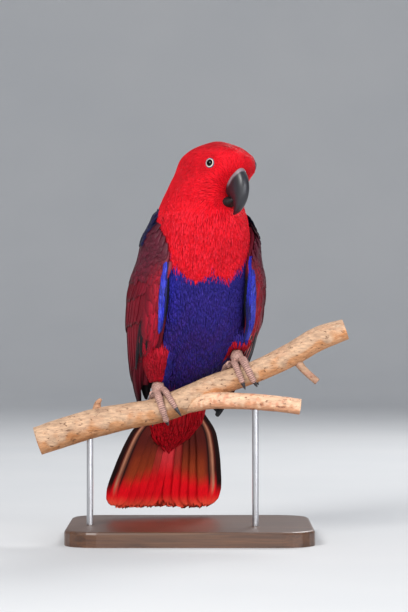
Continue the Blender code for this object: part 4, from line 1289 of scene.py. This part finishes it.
def scatter_front(side, low, high, step, first, last, columns, reach):
    """Roots and tips of long feathers along the wing's front edge, in staggered columns."""
    drop = LEFT_DROP * MM if side == 1 else 0.0
    roots, tips = [], []
    for number, z in enumerate(np.arange(low, high, step)):
        for k in range(columns):
            past = math.radians(first + (last - first) * (k + 0.5 * (number % 2)) / columns)
            root_z = z - drop + rng.uniform(-0.2, 0.2) * step
            tip_z = root_z - reach * rng.uniform(0.9, 1.1)
            roots.append((root_z, wing_edge(side, np.array(root_z), 1) + past))
            tips.append((tip_z, wing_edge(side, np.array(tip_z), 1) + past * rng.uniform(0.6, 0.95)))
    return np.array(roots, float), np.array(tips, float)


def beside_edge(side, heights, past, reach, narrowing):
    """Roots and tips at degrees past a wing's front edge, for feathers that close in on it."""
    ends = heights - reach
    roots = np.stack([heights, wing_edge(side, heights, 1) + np.radians(past)], axis=-1)
    tips = np.stack([ends, wing_edge(side, ends, 1) + np.radians(past - narrowing)], axis=-1)
    return roots, tips


def lay(
    name, side, roots, tips, width, lies, rows, tones, columns=5, profile=COVERT_SHAPE, thick=0.3, tilt=0.03
):
    """One piece of a wing's feathers, its sizes in millimetres."""
    widths = width * MM * rng.uniform(0.94, 1.06, len(roots))
    lies = (lies[0] * MM, lies[1] * MM)
    made = wing_vanes(
        name, side, roots, tips, widths, lies, rows, columns, profile, thick * MM, tones, tilt
    )
    settle(made, "violet_feathers" if name.startswith("blue") else "crimson_feathers")


def lay_tiers(side, label):
    """The flight feathers and the larger coverts over them."""
    for name, count, root, step, tips, tip_turn, rows, width, lies, thick, tones in TIERS:
        coverts = "coverts" in name
        drop = LEFT_DROP if coverts and side == 1 else 0.0
        places = tier(side, count, root, step, tips, tip_turn, drop)
        base = own_tone(side) if tones[0] is None else plain(tones[0])
        lay(
            f"{name}_{label}", side, *places, width, lies, rows, vane_tones(base, *tones[1:]), 7,
            COVERT_SHAPE if coverts else FLIGHT_SHAPE, thick, tilt=0.07,
        )


def lay_lesser_coverts(side, label):
    """Small soft shingles over the shoulder."""
    top = WING_EDGES[side][-1][0] * MM + 4 * MM
    drop = LEFT_DROP * MM if side == 1 else 0.0
    heights, angles = [], []
    for number, z in enumerate(np.arange(LESSER_LOW - drop, top, LESSER_ROW)):
        front, back = (float(wing_edge(side, np.array(z), c)) for c in (1, 2))
        turn = np.arange(front - 0.02, back + 0.1, LESSER_PITCH) + (number % 2) * LESSER_PITCH / 2
        heights.append(np.full(len(turn), z))
        angles.append(turn)
    z, turn = np.concatenate(heights), np.concatenate(angles)
    z = z + rng.uniform(-1.4, 1.4, len(z)) * MM
    turn = turn + rng.uniform(-0.03, 0.03, len(turn))
    reach = rng.uniform(11.0, 15.0, len(z)) * MM
    roots = np.stack([z, turn], axis=-1)
    tips = np.stack([z - reach, turn + rng.uniform(-0.04, 0.04, len(z))], axis=-1)
    tones = vane_tones(own_tone(side), BLACK, 0.75, DULL_MAROON, 0.25)
    lay("lesser_coverts_" + label, side, roots, tips, 7, (2.0, 0.25), 9, tones)


# By side: where the long front feathers start, in degrees past the edge and in metres up, and the blue
# strip's width in degrees, its lower end and how far it reaches over the edge
FRONT_START, FRONT_LOW = {1: 9.0, -1: 5.0}, {1: 0.222, -1: 0.203}
BLUE_WIDTH, BLUE_LOW, BLUE_OVER = {1: 13.0, -1: 6.5}, {1: 0.202, -1: 0.214}, {1: 4.0, -1: 0.0}
FRONT_TOP = 0.268
BLUE_COLUMNS = 5


def lay_front_coverts(side, label):
    """Long crimson feathers down the front edge, and black ones in the gap between them and the rest, as a
    painted shadow.
    """
    first = FRONT_START[side]
    places = scatter_front(side, FRONT_LOW[side], FRONT_TOP, 5.0 * MM, first, first + 17.0, 4, 34 * MM)
    tones = vane_tones(own_tone(side), MAROON, 0.45, MAROON, 0.8)
    lay("front_coverts_" + label, side, *places, 7, (2.2, 0.5), 14, tones, thick=0.35, tilt=0.04)
    # Black feathers in the gap: a painted shadow
    past = np.linspace(first + 15.0, first + 20.0, 4)
    places = beside_edge(side, np.linspace(0.216, 0.198, 4), past, 42 * MM, 9.0)
    tones = vane_tones(plain(BLACK), MAROON, 0.75, BLACK, 0.8)
    lay("painted_shadow_gap_" + label, side, *places, 3.4, (1.6, 0.3), 14, tones)


def lay_blue_edge(side, label):
    """Vivid blue feathers on the edge itself, in a narrow leaf shape, with painted shade, near black, on its
    inner side by the breast.
    """
    low = BLUE_LOW[side]
    roots, tips = scatter_front(side, low, FRONT_TOP, 3.2 * MM, 0.0, 1.0, BLUE_COLUMNS, 22 * MM)
    rise = np.clip((roots[:, 0] - low) / (FRONT_TOP - low), 0, 1)
    swell = 0.35 + 0.65 * np.sin(np.pi * np.clip(rise * 0.9 + 0.08, 0, 1))
    leaf = np.radians(BLUE_WIDTH[side]) * swell
    share = (np.arange(len(roots)) % BLUE_COLUMNS + 0.5) / BLUE_COLUMNS
    over = math.radians(BLUE_OVER[side])
    roots[:, 1] = wing_edge(side, roots[:, 0], 1) + leaf * share - over
    tips[:, 1] = wing_edge(side, tips[:, 0], 1) + leaf * share * 0.8 - over

    def leaf_tone(z, _):
        # Painted shade: the feathers nearest the breast darkened to navy, on the left wing only low down
        low_part = step_between(0.232, 0.212, z) if side == 1 else np.ones_like(z)
        dark = 0.85 * low_part * (share < 0.3)[:, None]
        tone = blend_of(BLUE, NAVY, dark)
        tone = blend_of(tone, NAVY, (0.75 * rng.uniform(0, 1, len(z)) ** 2)[:, None])
        light = rng.uniform(0, 0.8, len(z)) * (share > 0.3)
        return blend_of(tone, PALE_BLUE, light[:, None] * np.linspace(0, 1, z.shape[1]))

    tones = vane_tones(leaf_tone, NAVY, 0.7, NAVY, 0.6)
    lay("blue_edge_" + label, side, roots, tips, 2.5, (1.7, -0.2), 12, tones)


def build_wing(side, label):
    """One folded wing: its slab, then its feathers, each kind over the one before."""
    build_wing_core(side, label)
    lay_tiers(side, label)
    if side == 1:
        heights, past = np.linspace(0.206, 0.190, 4), np.linspace(9.0, 19.0, 4)
        places = beside_edge(side, heights, past, 30 * MM, 10.0)
        tones = vane_tones(plain(SALMON), BLACK, -0.55, BLACK, 1.0)
        lay("striped_feathers_" + label, side, *places, 5, (1.2, 0), 14, tones, columns=7)
    lay_lesser_coverts(side, label)
    lay_front_coverts(side, label)
    lay_blue_edge(side, label)


def build_mantle():
    """Dark blue feathers that lie from behind the neck over the tops of the wings."""
    roots, tips = [], []
    for number, z in enumerate(np.arange(MANTLE_LOW, MANTLE_HIGH, MANTLE_ROW)):
        turn = np.arange(MANTLE_START, np.pi, MANTLE_PITCH) + (number % 2) * 0.05
        for side, _ in SIDES:
            for angle in turn:
                root = (z + rng.uniform(-1.0, 1.0) * MM, angle + rng.uniform(-0.02, 0.02))
                roots.append((side, *root))
                tips.append((side, root[0] - rng.uniform(8.5, 12) * MM, root[1] + rng.uniform(-0.03, 0.03)))
    roots, tips = np.array(roots), np.array(tips)
    tones = vane_tones(plain(NAVY), BLACK, 0.4, BLACK, 0.8, BLACK, 0.9)
    for side, label in SIDES:
        own = roots[:, 0] == side
        widths = np.full(own.sum(), 7.0 * MM)
        made = wing_vanes(
            "mantle_" + label, side, roots[own][:, 1:], tips[own][:, 1:], widths, (2.6 * MM, -0.6 * MM),
            10, 5, COVERT_SHAPE, 0.3 * MM, tones, 0.03,
        )
        settle(made, "violet_feathers")


# The tail

TAIL_ROOT_SIDE = -0.005
TAIL_SWAY = math.radians(-1)
TAIL_SLOPE = math.radians(60)
# The fan, in millimetres: distance down the tail, and the outermost feather's middle to the side
FAN = np.array([(5, 21), (26, 32), (60, 40), (90, 44.5), (108, 45)])
# A tail feather's width, in millimetres, at places along it
TAIL_PLACES, TAIL_WIDTHS = (0, 0.2, 0.5, 0.8, 0.92, 0.975, 1), (14, 20, 23, 23.5, 21, 15, 9)
FAN_FEATHERS = 12
FAN_LAYER = 1.25 * MM
OUTER_SHORTER = 3.0


def tail_frame():
    """The tail root's middle, and unit vectors down the tail, to its left and out of its upper side."""
    centre = body.at(np.array(body.low))[0]
    ahead, left = turned(BODY_YAW)
    down = unit(-math.cos(TAIL_SLOPE) * ahead - math.sin(TAIL_SLOPE) * np.array((0, 0, 1)))
    down = unit(down + math.tan(TAIL_SWAY) * left)
    left = unit(left - (left @ down) * down)
    return centre + left * TAIL_ROOT_SIDE, down, left, np.cross(left, down)


TAIL_BROWN, TAIL_RUST, TAIL_PINK = srgb(92, 30, 26), srgb(178, 70, 34), srgb(255, 66, 76)
TAIL_RED, TAIL_BRIGHT, TAIL_TOP = srgb(255, 14, 32), srgb(255, 96, 70), srgb(168, 4, 24)
TAIL_STRIP, TAIL_RIM = srgb(206, 142, 112), srgb(34, 16, 16)


def tail_tones(share, t, ring):
    """Tones of one tail feather: its upper points first, then the lower ones, which the front shows."""
    outer = abs(share)
    c = ring[:, 0] * (-1 if share >= 0 else 1)
    upper = np.arange(len(c)) < len(c) // 2
    t, c = np.meshgrid(t, c, indexing="ij")
    middle = 0.95 * step_between(0.66, 0.2, outer) * step_between(0.10, 0.4, t)
    field = blend_of(TAIL_BROWN, TAIL_PINK, middle)
    warm = step_between(0.15, -0.6, c) * step_between(0.2, 0.6, t) * step_between(0.2, 0.7, outer)
    field = blend_of(field, TAIL_RUST, warm * 0.8)
    field = blend_of(field, TAIL_RED, step_between(0.36 + 0.22 * outer, 0.66 + 0.16 * outer, t))
    field = blend_of(field, TAIL_BRIGHT, step_between(0.86, 1.0, t) * 0.8)
    plain_part = step_between(0.92, 0.72, t) * step_between(0.6, 0.8, outer)
    strip = step_between(0.14, 0.22, c) * step_between(0.50, 0.40, c)
    field = blend_of(field, TAIL_STRIP, strip * step_between(0.85, 0.95, outer) * plain_part)
    field = blend_of(field, TAIL_RIM, step_between(0.48, 0.62, c) * plain_part)
    shaft = step_between(0.14, 0.05, np.abs(c)) * step_between(0.92, 0.7, t)
    field = blend_of(field, BLACK, shaft * (0.25 + 0.75 * step_between(0.5, 0.9, outer)))
    top = blend_of(TAIL_TOP, TAIL_BRIGHT, step_between(0.75, 1.0, t))
    top = blend_of(top, MAROON, step_between(0.5, 0.0, t) * 0.6)
    return np.where(upper[None, :, None], top, field)


def build_tail_core(centre, down, left, top):
    """The root of the tail under its coverts, from the body's lowest section to a flat end."""
    sides = 48
    turn = np.linspace(-np.pi, np.pi, sides, endpoint=False)
    rings = [body.point(np.full(sides, body.low), turn) - np.array((0, 0, 0.3 * MM))]
    for reach, half, thick in ((0.008, 25, 8), (0.020, 22, 5.5), (0.032, 16, 3), (0.041, 7, 1.2)):
        ring = np.sin(turn)[:, None] * left * half - np.cos(turn)[:, None] * top * thick
        rings.append(centre + down * reach + ring * MM)
    core = tube_mesh("tail_core", np.array(rings), skin_look)
    # The vent's red at 0.6 of its brightness: painted shade under the coverts
    paint_all(core, VENT * 0.6)
    settle(core, "crimson_feathers", "tail")


def build_tail_fan(centre, down, left, top):
    """Twelve broad feathers, each outer one under its inner neighbour, with ragged ends."""
    rows, columns = 40, 13
    ring = broad_ring(columns)
    t = np.linspace(0, 1, rows)
    run = FAN[0, 0] + (FAN[-1, 0] + 2.0 - FAN[0, 0]) * t
    middle = (FAN_FEATHERS - 1) / 2
    spine, across, colour, ragged, place = [], [], [], [], []
    for i in range(FAN_FEATHERS):
        share = (i - middle) / middle
        lift = (middle / 2 - abs(i - middle)) * FAN_LAYER
        reach = run - OUTER_SHORTER * share**4 * step_between(0.5, 1.0, t)
        aside = smooth_table(FAN[:, 0], FAN[:, 1], run) * share
        line = centre + (down * reach[:, None] + left * aside[:, None]) * MM + top * lift
        spine.append(line)
        across.append(np.cross(top, unit(np.gradient(line, axis=0))))
        colour.append(tail_tones(share, t, ring))
        barbs = rng.uniform(-3.4, 1.8, (1, columns))
        barbs = np.concatenate([barbs, barbs[:, ::-1]], axis=1) * MM
        ragged.append(step_between(0.8, 1.0, t)[:, None] * barbs)
        place.append((0.08 + 0.84 * i / (FAN_FEATHERS - 1), 0.3))
    spine = np.array(spine)
    half = np.broadcast_to(np.interp(t, TAIL_PLACES, TAIL_WIDTHS) * MM / 2, (FAN_FEATHERS, rows))
    fan = vane_mesh(
        "tail_feathers", spine, np.array(across), np.broadcast_to(top, spine.shape), half, ring, 0.55 * MM,
        np.array(colour), np.array(place), tail_look, bend=0.09, ragged=np.array(ragged),
    )
    settle(fan, "crimson_feathers")


def build_tail_coverts(name, side, longest, tone, centre, down, left, top):
    """Soft feathers in a tongue under the tail's root, or a shorter one over it."""
    rows = 10
    t = np.linspace(0, 1, rows)
    spine, out, half, place = [], [], [], []
    starts = np.arange(-8.0, longest - 15.0, 2.4)
    for row, start in enumerate(starts):
        room = np.interp(start + 12.0, (0, 12, 30, longest), (27, 26, 19, 5))
        count = max(int(room * 2 / 3.0), 3)
        for k in range(count):
            share = ((k + 0.5 * (row % 2) + 0.25) / count) * 2 - 1 + rng.uniform(-0.04, 0.04)
            length = rng.uniform(16.0, 23.0) * (1 - 0.2 * abs(share))
            reach = start + length * t - 6.0 * share * share
            aside = share * np.interp(reach, (-10, 12, 30, longest), (27, 26, 18, 4))
            aside = aside + 2.5 * side * step_between(10.0, longest, reach)
            bulk = np.interp(reach, (-10, 8, 22, 36, longest + 6), (12, 10.8, 8.4, 6.4, 5))
            bulk = bulk * np.sqrt(np.maximum(1 - 0.80 * share * share, 0.12))
            lift = bulk - 1.4 * (1 - t) + rng.uniform(-0.12, 0.12)
            line = down * reach[:, None] + left * aside[:, None] + top * side * lift[:, None]
            spine.append(centre + line * MM)
            out.append(np.broadcast_to(unit(top * side + left * share * 0.8), line.shape))
            half.append(shape_of(ROUND_SHAPE, rows) * rng.uniform(2.6, 3.8) / 2 * MM)
            place.append((0.5 + 0.44 * share, 0.04 + 0.9 * row / len(starts)))
    spine, out = np.array(spine), np.array(out)
    along = unit(np.gradient(spine, axis=1))
    across = unit(np.cross(out, along))
    base = varied(np.broadcast_to(tone, (len(spine), 3)), 0.08)
    # Slightly darker towards the roots: painted shade where the feathers over them lie
    colour = base[:, None, None] * (0.96 + 0.04 * np.minimum(t * 1.6, 1))[None, :, None, None]
    colour = np.repeat(colour, len(BLADE), axis=2)
    made = vane_mesh(
        name, spine, across, np.cross(along, across), np.array(half), BLADE, 0.16 * MM,
        colour, np.array(place), coat_look,
    )
    settle(made, "crimson_feathers")


def build_tail():
    """The tail's root, its fan, and the coverts under and over them."""
    axes = tail_frame()
    build_tail_core(*axes)
    build_tail_fan(*axes)
    build_tail_coverts("undertail_coverts", -1, 44.0, VENT, *axes)
    build_tail_coverts("uppertail_coverts", 1, 42.0, WINE, *axes)


# The perch

# Middles of the branch and of the limb across and up, the limb's also from the branch towards the back,
# and their radii, in millimetres
BRANCH_LINE = (
    (-140, 91), (-116, 99), (-86, 108), (-57, 114), (-34, 118), (-6, 128),
    (23, 142), (60, 155), (92, 170), (120, 186), (143, 194),
)
BRANCH_RADII = (13.3, 13.6, 13.4, 12.2, 11.8, 12.4, 10.8, 10.2, 11.0, 11.2, 9.8)
LIMB_LINE = (
    (-18, 121, 0), (4, 126, -4), (20, 128.5, -8.5), (37, 128.6, -11.5),
    (60, 127.6, -12.5), (83, 125.5, -12), (101, 123, -11),
)
LIMB_RADII = (7.0, 8.0, 7.8, 7.7, 7.5, 7.4, 7.3)
TWIG_X, SPUR_X = 0.095, -0.086


def branch_at(x):
    """The branch's middle, direction and radius at places across."""
    xs, zs = np.array(BRANCH_LINE).T * MM
    x = np.asarray(x, float)
    z = smooth_table(xs, zs, x)
    slope = (smooth_table(xs, zs, x + 2 * MM) - smooth_table(xs, zs, x - 2 * MM)) / (4 * MM)
    radius = smooth_table(xs, np.array(BRANCH_RADII) * MM, x)
    middle = np.stack([x, np.full_like(x, BIRD[1]), z], axis=-1)
    return middle, unit(np.stack([np.ones_like(x), np.zeros_like(x), slope], axis=-1)), radius


def waves(rows, sides, steps):
    """A smooth uneven field over a tube, from a few waves along and round it."""
    along = np.linspace(0, 1, rows)[:, None]
    turn = turns(sides)[None]
    field = np.zeros((rows, sides))
    for _ in range(steps):
        frequency, around = rng.uniform(2, 30), rng.integers(0, 6)
        phase, twist = rng.uniform(0, 2 * np.pi, 2)
        ripple = np.cos(2 * np.pi * frequency * along + phase) * np.cos(around * turn + twist)
        field += ripple / (1 + frequency * 0.12)
    return field / np.abs(field).max()


def bark_tones(rings, top_tone, low_tone, patch_tone):
    """Paler above and orange-brown below, with uneven patches."""
    middle = rings.mean(axis=1, keepdims=True)
    up = unit(rings - middle)[..., 2]
    field = waves(*up.shape, 40)
    tones = blend_of(top_tone, patch_tone, step_between(0.12, 0.4, field) * 0.8)
    return blend_of(tones, low_tone, step_between(0.05, -0.5, up + 0.9 * waves(*up.shape, 40)))


def build_branch(look, limb_look):
    """The branch and its two stubs."""
    rows, sides = 300, 64
    x = np.linspace(BRANCH_LINE[0][0], BRANCH_LINE[-1][0], rows) * MM
    middle, _, radius = branch_at(x)
    rings = tube_rings(middle, radius[:, None] * (1 + 0.022 * waves(rows, sides, 30) - 0.012), sides)
    branch = tube_mesh("branch", rings, look)
    tones = bark_tones(rings, srgb(190, 158, 134), srgb(186, 112, 52), srgb(214, 178, 148))
    paint_tube(branch, tones, srgb(212, 180, 132))
    settle(branch, "branch_wood", "perch_branch")
    root = branch_at(TWIG_X)[0]
    line = curve_through([root, root + (0.008, -0.002, -0.013), root + (0.022, -0.004, -0.026)], 40)
    size = np.interp(np.linspace(0, 1, 40), (0, 0.25, 0.5, 1), (5.4, 4.4, 3.5, 3.2)) * MM
    twig = tube_mesh("twig", tube_rings(line, size, 24), limb_look)
    paint_all(twig, srgb(96, 52, 48))
    settle(twig, "branch_wood")
    root = branch_at(SPUR_X)[0] + (0, 0, 0.008)
    line = curve_through([root, root + (0.001, 0, 0.009), root + (0.004, 0, 0.014)], 24)
    spur = tube_mesh("spur", tube_rings(line, np.linspace(4.9, 1.3, 24) * MM, 20), look)
    paint_all(spur, srgb(170, 112, 84))
    settle(spur, "branch_wood")


def build_limb(look):
    """The limb that leaves the branch, more like it in colour where they join."""
    rows, sides = 160, 48
    line = curve_through([(x * MM, BIRD[1] + y * MM, z * MM) for x, z, y in LIMB_LINE], rows)
    last = len(LIMB_RADII) - 1
    radius = np.interp(np.linspace(0, last, rows), range(last + 1), LIMB_RADII) * MM
    rings = tube_rings(line, radius[:, None] * (1 + 0.03 * waves(rows, sides, 26) - 0.015), sides)
    limb = tube_mesh("limb", rings, look)
    tones = bark_tones(rings, srgb(232, 190, 160), srgb(190, 104, 62), srgb(214, 112, 84))
    joined = step_between(0.30, 0.08, np.linspace(0, 1, rows))[:, None]
    paint_tube(limb, blend_of(tones, srgb(190, 146, 112), joined), srgb(226, 196, 150))
    settle(limb, "branch_wood", "perch_limb")


# The feet

FOOT_X = {1: 0.0485, -1: -0.0235}
ANKLE_BACK = 0.010
# Each toe's place along the branch, turn round it in degrees, radius at its base, and spread along the
# branch by its tip, the rest in millimetres
TOES = {
    1: {
        "inner_front": (-3.5, 112, 3.3, 1.5),
        "outer_front": (4.0, 126, 3.7, 3.5),
        "inner_back": (-8.0, -84, 3.2, -11.0),
        "outer_back": (5.0, -118, 3.4, 4.0),
    },
    -1: {
        "inner_front": (5.0, 100, 3.3, 4.5),
        "outer_front": (-1.5, 138, 3.7, 0.0),
        "inner_back": (4.0, -92, 3.0, 4.0),
        "outer_back": (-6.0, -112, 3.4, -6.0),
    },
}
GAP = 0.3 * MM
CLAW_TURN = 36
TOE_ROWS, TOE_SIDES = 170, 26
SCUTE = 1.7 * MM


def round_branch(x, along, turn, lift):
    """Points over the branch, turned round it from its top towards the front and lifted off it."""
    middle, direction, radius = branch_at(x + along)
    front = np.array((0.0, -1.0, 0.0))
    up = np.cross(direction, front)
    up = np.where(up[..., 2:] < 0, -up, up)
    outward = np.cos(turn)[..., None] * up + np.sin(turn)[..., None] * front
    return middle + (radius + lift)[..., None] * outward


def toe_line(side, toe, t, lift):
    offset, reach, _, spread = TOES[side][toe]
    return round_branch(FOOT_X[side], (offset + spread * t) * MM, math.radians(reach) * t, lift)


def scaled_toe(path, girth, sides):
    """A toe's rings with raised scutes over it and low pads under it, and how high each point stands."""
    run = np.concatenate([[0], np.cumsum(np.linalg.norm(np.diff(path, axis=0), axis=1))])
    phase = run / SCUTE
    band = np.abs(np.sin(np.pi * phase))[:, None] ** 0.6
    turn = turns(sides)
    cobble = 0.5 + 0.5 * np.cos(np.pi * phase[:, None] * 2) * np.cos(turn * 7)[None]
    spokes = spokes_round(path, sides)
    outward = path - branch_at(path[:, 0])[0]
    top = step_between(-0.3, 0.4, (spokes * unit(outward)[:, None]).sum(-1))
    height = band * top + cobble * (1 - top)
    rings = path[:, None] + spokes * (girth[:, None] * (0.90 + 0.13 * height))[..., None]
    return rings, height


FOOT_PALE, FOOT_DARK = srgb(206, 160, 146), srgb(58, 38, 38)


def build_toe(side, toe, look):
    """A ringed toe round the branch, rounded at both ends."""
    _, _, radius, _ = TOES[side][toe]
    thick = radius * MM
    t = np.linspace(-0.06, 1.02, TOE_ROWS)
    close = np.sqrt(np.clip((1.03 - t) / 0.07, 0, 1)) * np.sqrt(np.clip((t + 0.08) / 0.06, 0, 1))
    knuckles = 1 + 0.07 * np.cos(2 * np.pi * t * 3)
    girth = thick * (1.0 - 0.25 * t) * knuckles * close
    path = toe_line(side, toe, t, thick * (1 - 0.25 * t) * 0.98 + GAP)
    rings, height = scaled_toe(path, girth, TOE_SIDES)
    piece = tube_mesh(toe, rings, look)
    tone = blend_of(FOOT_DARK, FOOT_PALE, height)
    paint_tube(piece, tone * rng.uniform(0.92, 1.08, (len(t), 1, 1)))
    return piece


def build_claw(side, toe, label, look):
    """A curved claw that goes on round the branch from the end of its toe."""
    _, reach, radius, _ = TOES[side][toe]
    s = np.linspace(0, 1, 26)
    at = 0.97 + (0.03 + CLAW_TURN / abs(reach)) * s
    path = toe_line(side, toe, at, radius * MM * 0.75 + GAP + np.maximum(at - 1, 0) * 0.004)
    size = np.interp(s, (0, 0.25, 0.5, 0.75, 1), (1.8, 1.75, 1.45, 1.0, 0.28)) * MM
    claw = tube_mesh(f"claw_{toe}_{label}", tube_rings(path, size, 16), look)
    paint_all(claw, srgb(20, 20, 24))
    settle(claw, "claw_horn", f"claw_{label}_{toe}")


def build_foot(side, label, skin_of_foot, claw_look):
    """Four toes and their claws, and the short shank above them."""
    pieces = []
    for toe in TOES[side]:
        pieces.append(build_toe(side, toe, skin_of_foot))
        build_claw(side, toe, label, claw_look)
    rows, sides = 60, 34
    top = round_branch(FOOT_X[side], np.array(0.0), np.array(math.radians(-6)), np.array(0.0062))
    ankle = top + (0, ANKLE_BACK, 0.014)
    line = curve_through([top + (0, -0.0035, -0.0015), top + (0, 0.003, 0.004), ankle], rows)
    at = np.linspace(0, 1, rows)
    size = np.interp(at, np.linspace(0, 1, 7), (3.6, 5.8, 6.3, 5.7, 4.9, 4.4, 4.2)) * MM
    turn = turns(sides)
    run = np.linspace(0, 11, rows)[:, None]
    cobble = 0.5 + 0.5 * np.cos(np.pi * run * 2) * np.cos(turn * 8 + np.pi * np.floor(run))
    rings = tube_rings(line, size[:, None] * (0.94 + 0.05 * cobble), sides)
    foot = tube_mesh("foot_skin_" + label, rings, skin_of_foot)
    paint_tube(foot, blend_of(FOOT_DARK, FOOT_PALE, 0.35 + 0.65 * cobble))
    join_into(foot, pieces)
    settle(foot, "foot_skin", "foot_" + label)


# The stage

CAMERA_AWAY = 2.4
VIEW_HEIGHT = 0.563
CAMERA_X, CAMERA_Z = 0.0129, 0.2153
SENSOR = 36.0
FLOOR_RADIUS, WALL_BEND, WALL_TOP = 3.2, 1.6, 3.4


def build_stage():
    """A round pale floor that curves up into a wall well behind every camera."""
    sides = 96
    bend = np.radians(np.linspace(0, 90, 24))
    out = np.concatenate([[0.01, 2.0], FLOOR_RADIUS + WALL_BEND * np.sin(bend), [FLOOR_RADIUS + WALL_BEND]])
    up = np.concatenate([[0, 0], WALL_BEND * (1 - np.cos(bend)), [WALL_TOP]])
    turn = turns(sides)
    flat = np.broadcast_to(up[:, None], (len(out), sides))
    points = np.stack([out[:, None] * np.cos(turn), out[:, None] * np.sin(turn), flat], axis=-1)
    quads = grid_faces(len(out), sides)
    look = floor_look("studio_floor")
    floor = mesh_object("floor", points.reshape(-1, 3), quads.ravel(), np.full(len(quads), 4), look)


def area_light(name, place, aim, size, power, tone=(1, 1, 1)):
    data = bpy.data.lights.new(name, "AREA")
    data.shape = "DISK"
    data.size = size
    data.energy = power
    data.color = tone
    lamp = new_object(name, data)
    lamp.location = place
    lamp.rotation_euler = (Vector(aim) - Vector(place)).to_track_quat("-Z", "Y").to_euler()


def build_camera_and_light():
    scene = bpy.context.scene
    lens = bpy.data.cameras.new("camera")
    camera = new_object("camera", lens)
    camera.location = (CAMERA_X, BIRD[1] - CAMERA_AWAY, CAMERA_Z)
    camera.rotation_euler = (math.radians(90), 0, 0)
    lens.sensor_width = SENSOR
    lens.lens = SENSOR * CAMERA_AWAY / VIEW_HEIGHT
    lens.clip_end = 20
    scene.camera = camera
    aim = (0.01, -0.02, 0.22)
    area_light("key", (-1.0, -1.9, 1.5), aim, 0.9, 52, (1.0, 0.985, 0.96))
    area_light("fill", (1.5, -1.6, 0.4), aim, 1.2, 24, (0.95, 0.97, 1.0))
    area_light("low", (0.2, -1.7, 0.12), (0.0, 0.03, 0.07), 0.5, 5)
    area_light("back", (0.8, 1.6, 1.6), aim, 0.9, 26)
    scene.view_settings.view_transform = "Standard"
    world = bpy.data.worlds.new("studio")
    world.use_nodes = True
    sky = world.node_tree.nodes["Background"].inputs
    sky["Color"].default_value = (0.9, 0.93, 1.0, 1)
    sky["Strength"].default_value = 0.55
    scene.world = world


def main():
    horn = horn_look("black_bill", ((0.3, srgb(8, 8, 14)), (0.7, srgb(26, 24, 36))), 0.46, coat=0.5)
    jaw_horn = horn_look("black_jaw", ((0.3, srgb(4, 4, 6)), (0.7, srgb(14, 12, 16))), 0.6)
    bills = build_bill(horn, jaw_horn)
    ball = eye_look("wet_eye")
    lid = scaly_look("bare_lid")
    for side, label in SIDES:
        build_eye(side, label, ball, lid)
    skin = build_skin()
    tree = mesh_tree(skin)
    build_head_coat(tree, bills)
    build_body_coat(tree)
    build_thigh_coat(tree, skin)
    for side, label in SIDES:
        build_wing(side, label)
    build_mantle()
    build_tail()
    pale = (
        (0.34, srgb(128, 88, 58)),
        (0.44, srgb(184, 144, 108)),
        (0.52, srgb(206, 168, 132)),
        (0.60, srgb(180, 130, 90)),
        (0.70, srgb(222, 192, 160)),
    )
    pink = ((0.3, srgb(176, 118, 88)), (0.5, srgb(226, 188, 150)), (0.7, srgb(206, 150, 124)))
    branch_bark = bark_look("branch_bark", pale, srgb(92, 56, 34))
    limb_bark = bark_look("limb_bark", pink, srgb(120, 70, 50))
    build_branch(branch_bark, limb_bark)
    build_limb(limb_bark)
    foot_skin = scaly_look("scaly_foot")
    claw = horn_look("dark_claw", ((0.3, srgb(22, 22, 26)), (0.7, srgb(58, 56, 60))), 0.38)
    for side, label in SIDES:
        build_foot(side, label, foot_skin, claw)
    for name, look in (
        ("stand_base", board_look("oiled_board")),
        ("stand_rod_left", steel_look("brushed_rod_left")),
        ("stand_rod_right", steel_look("brushed_rod_right")),
    ):
        nodes[name].data.materials.clear()
        nodes[name].data.materials.append(look)
    build_stage()
    build_camera_and_light()


main()
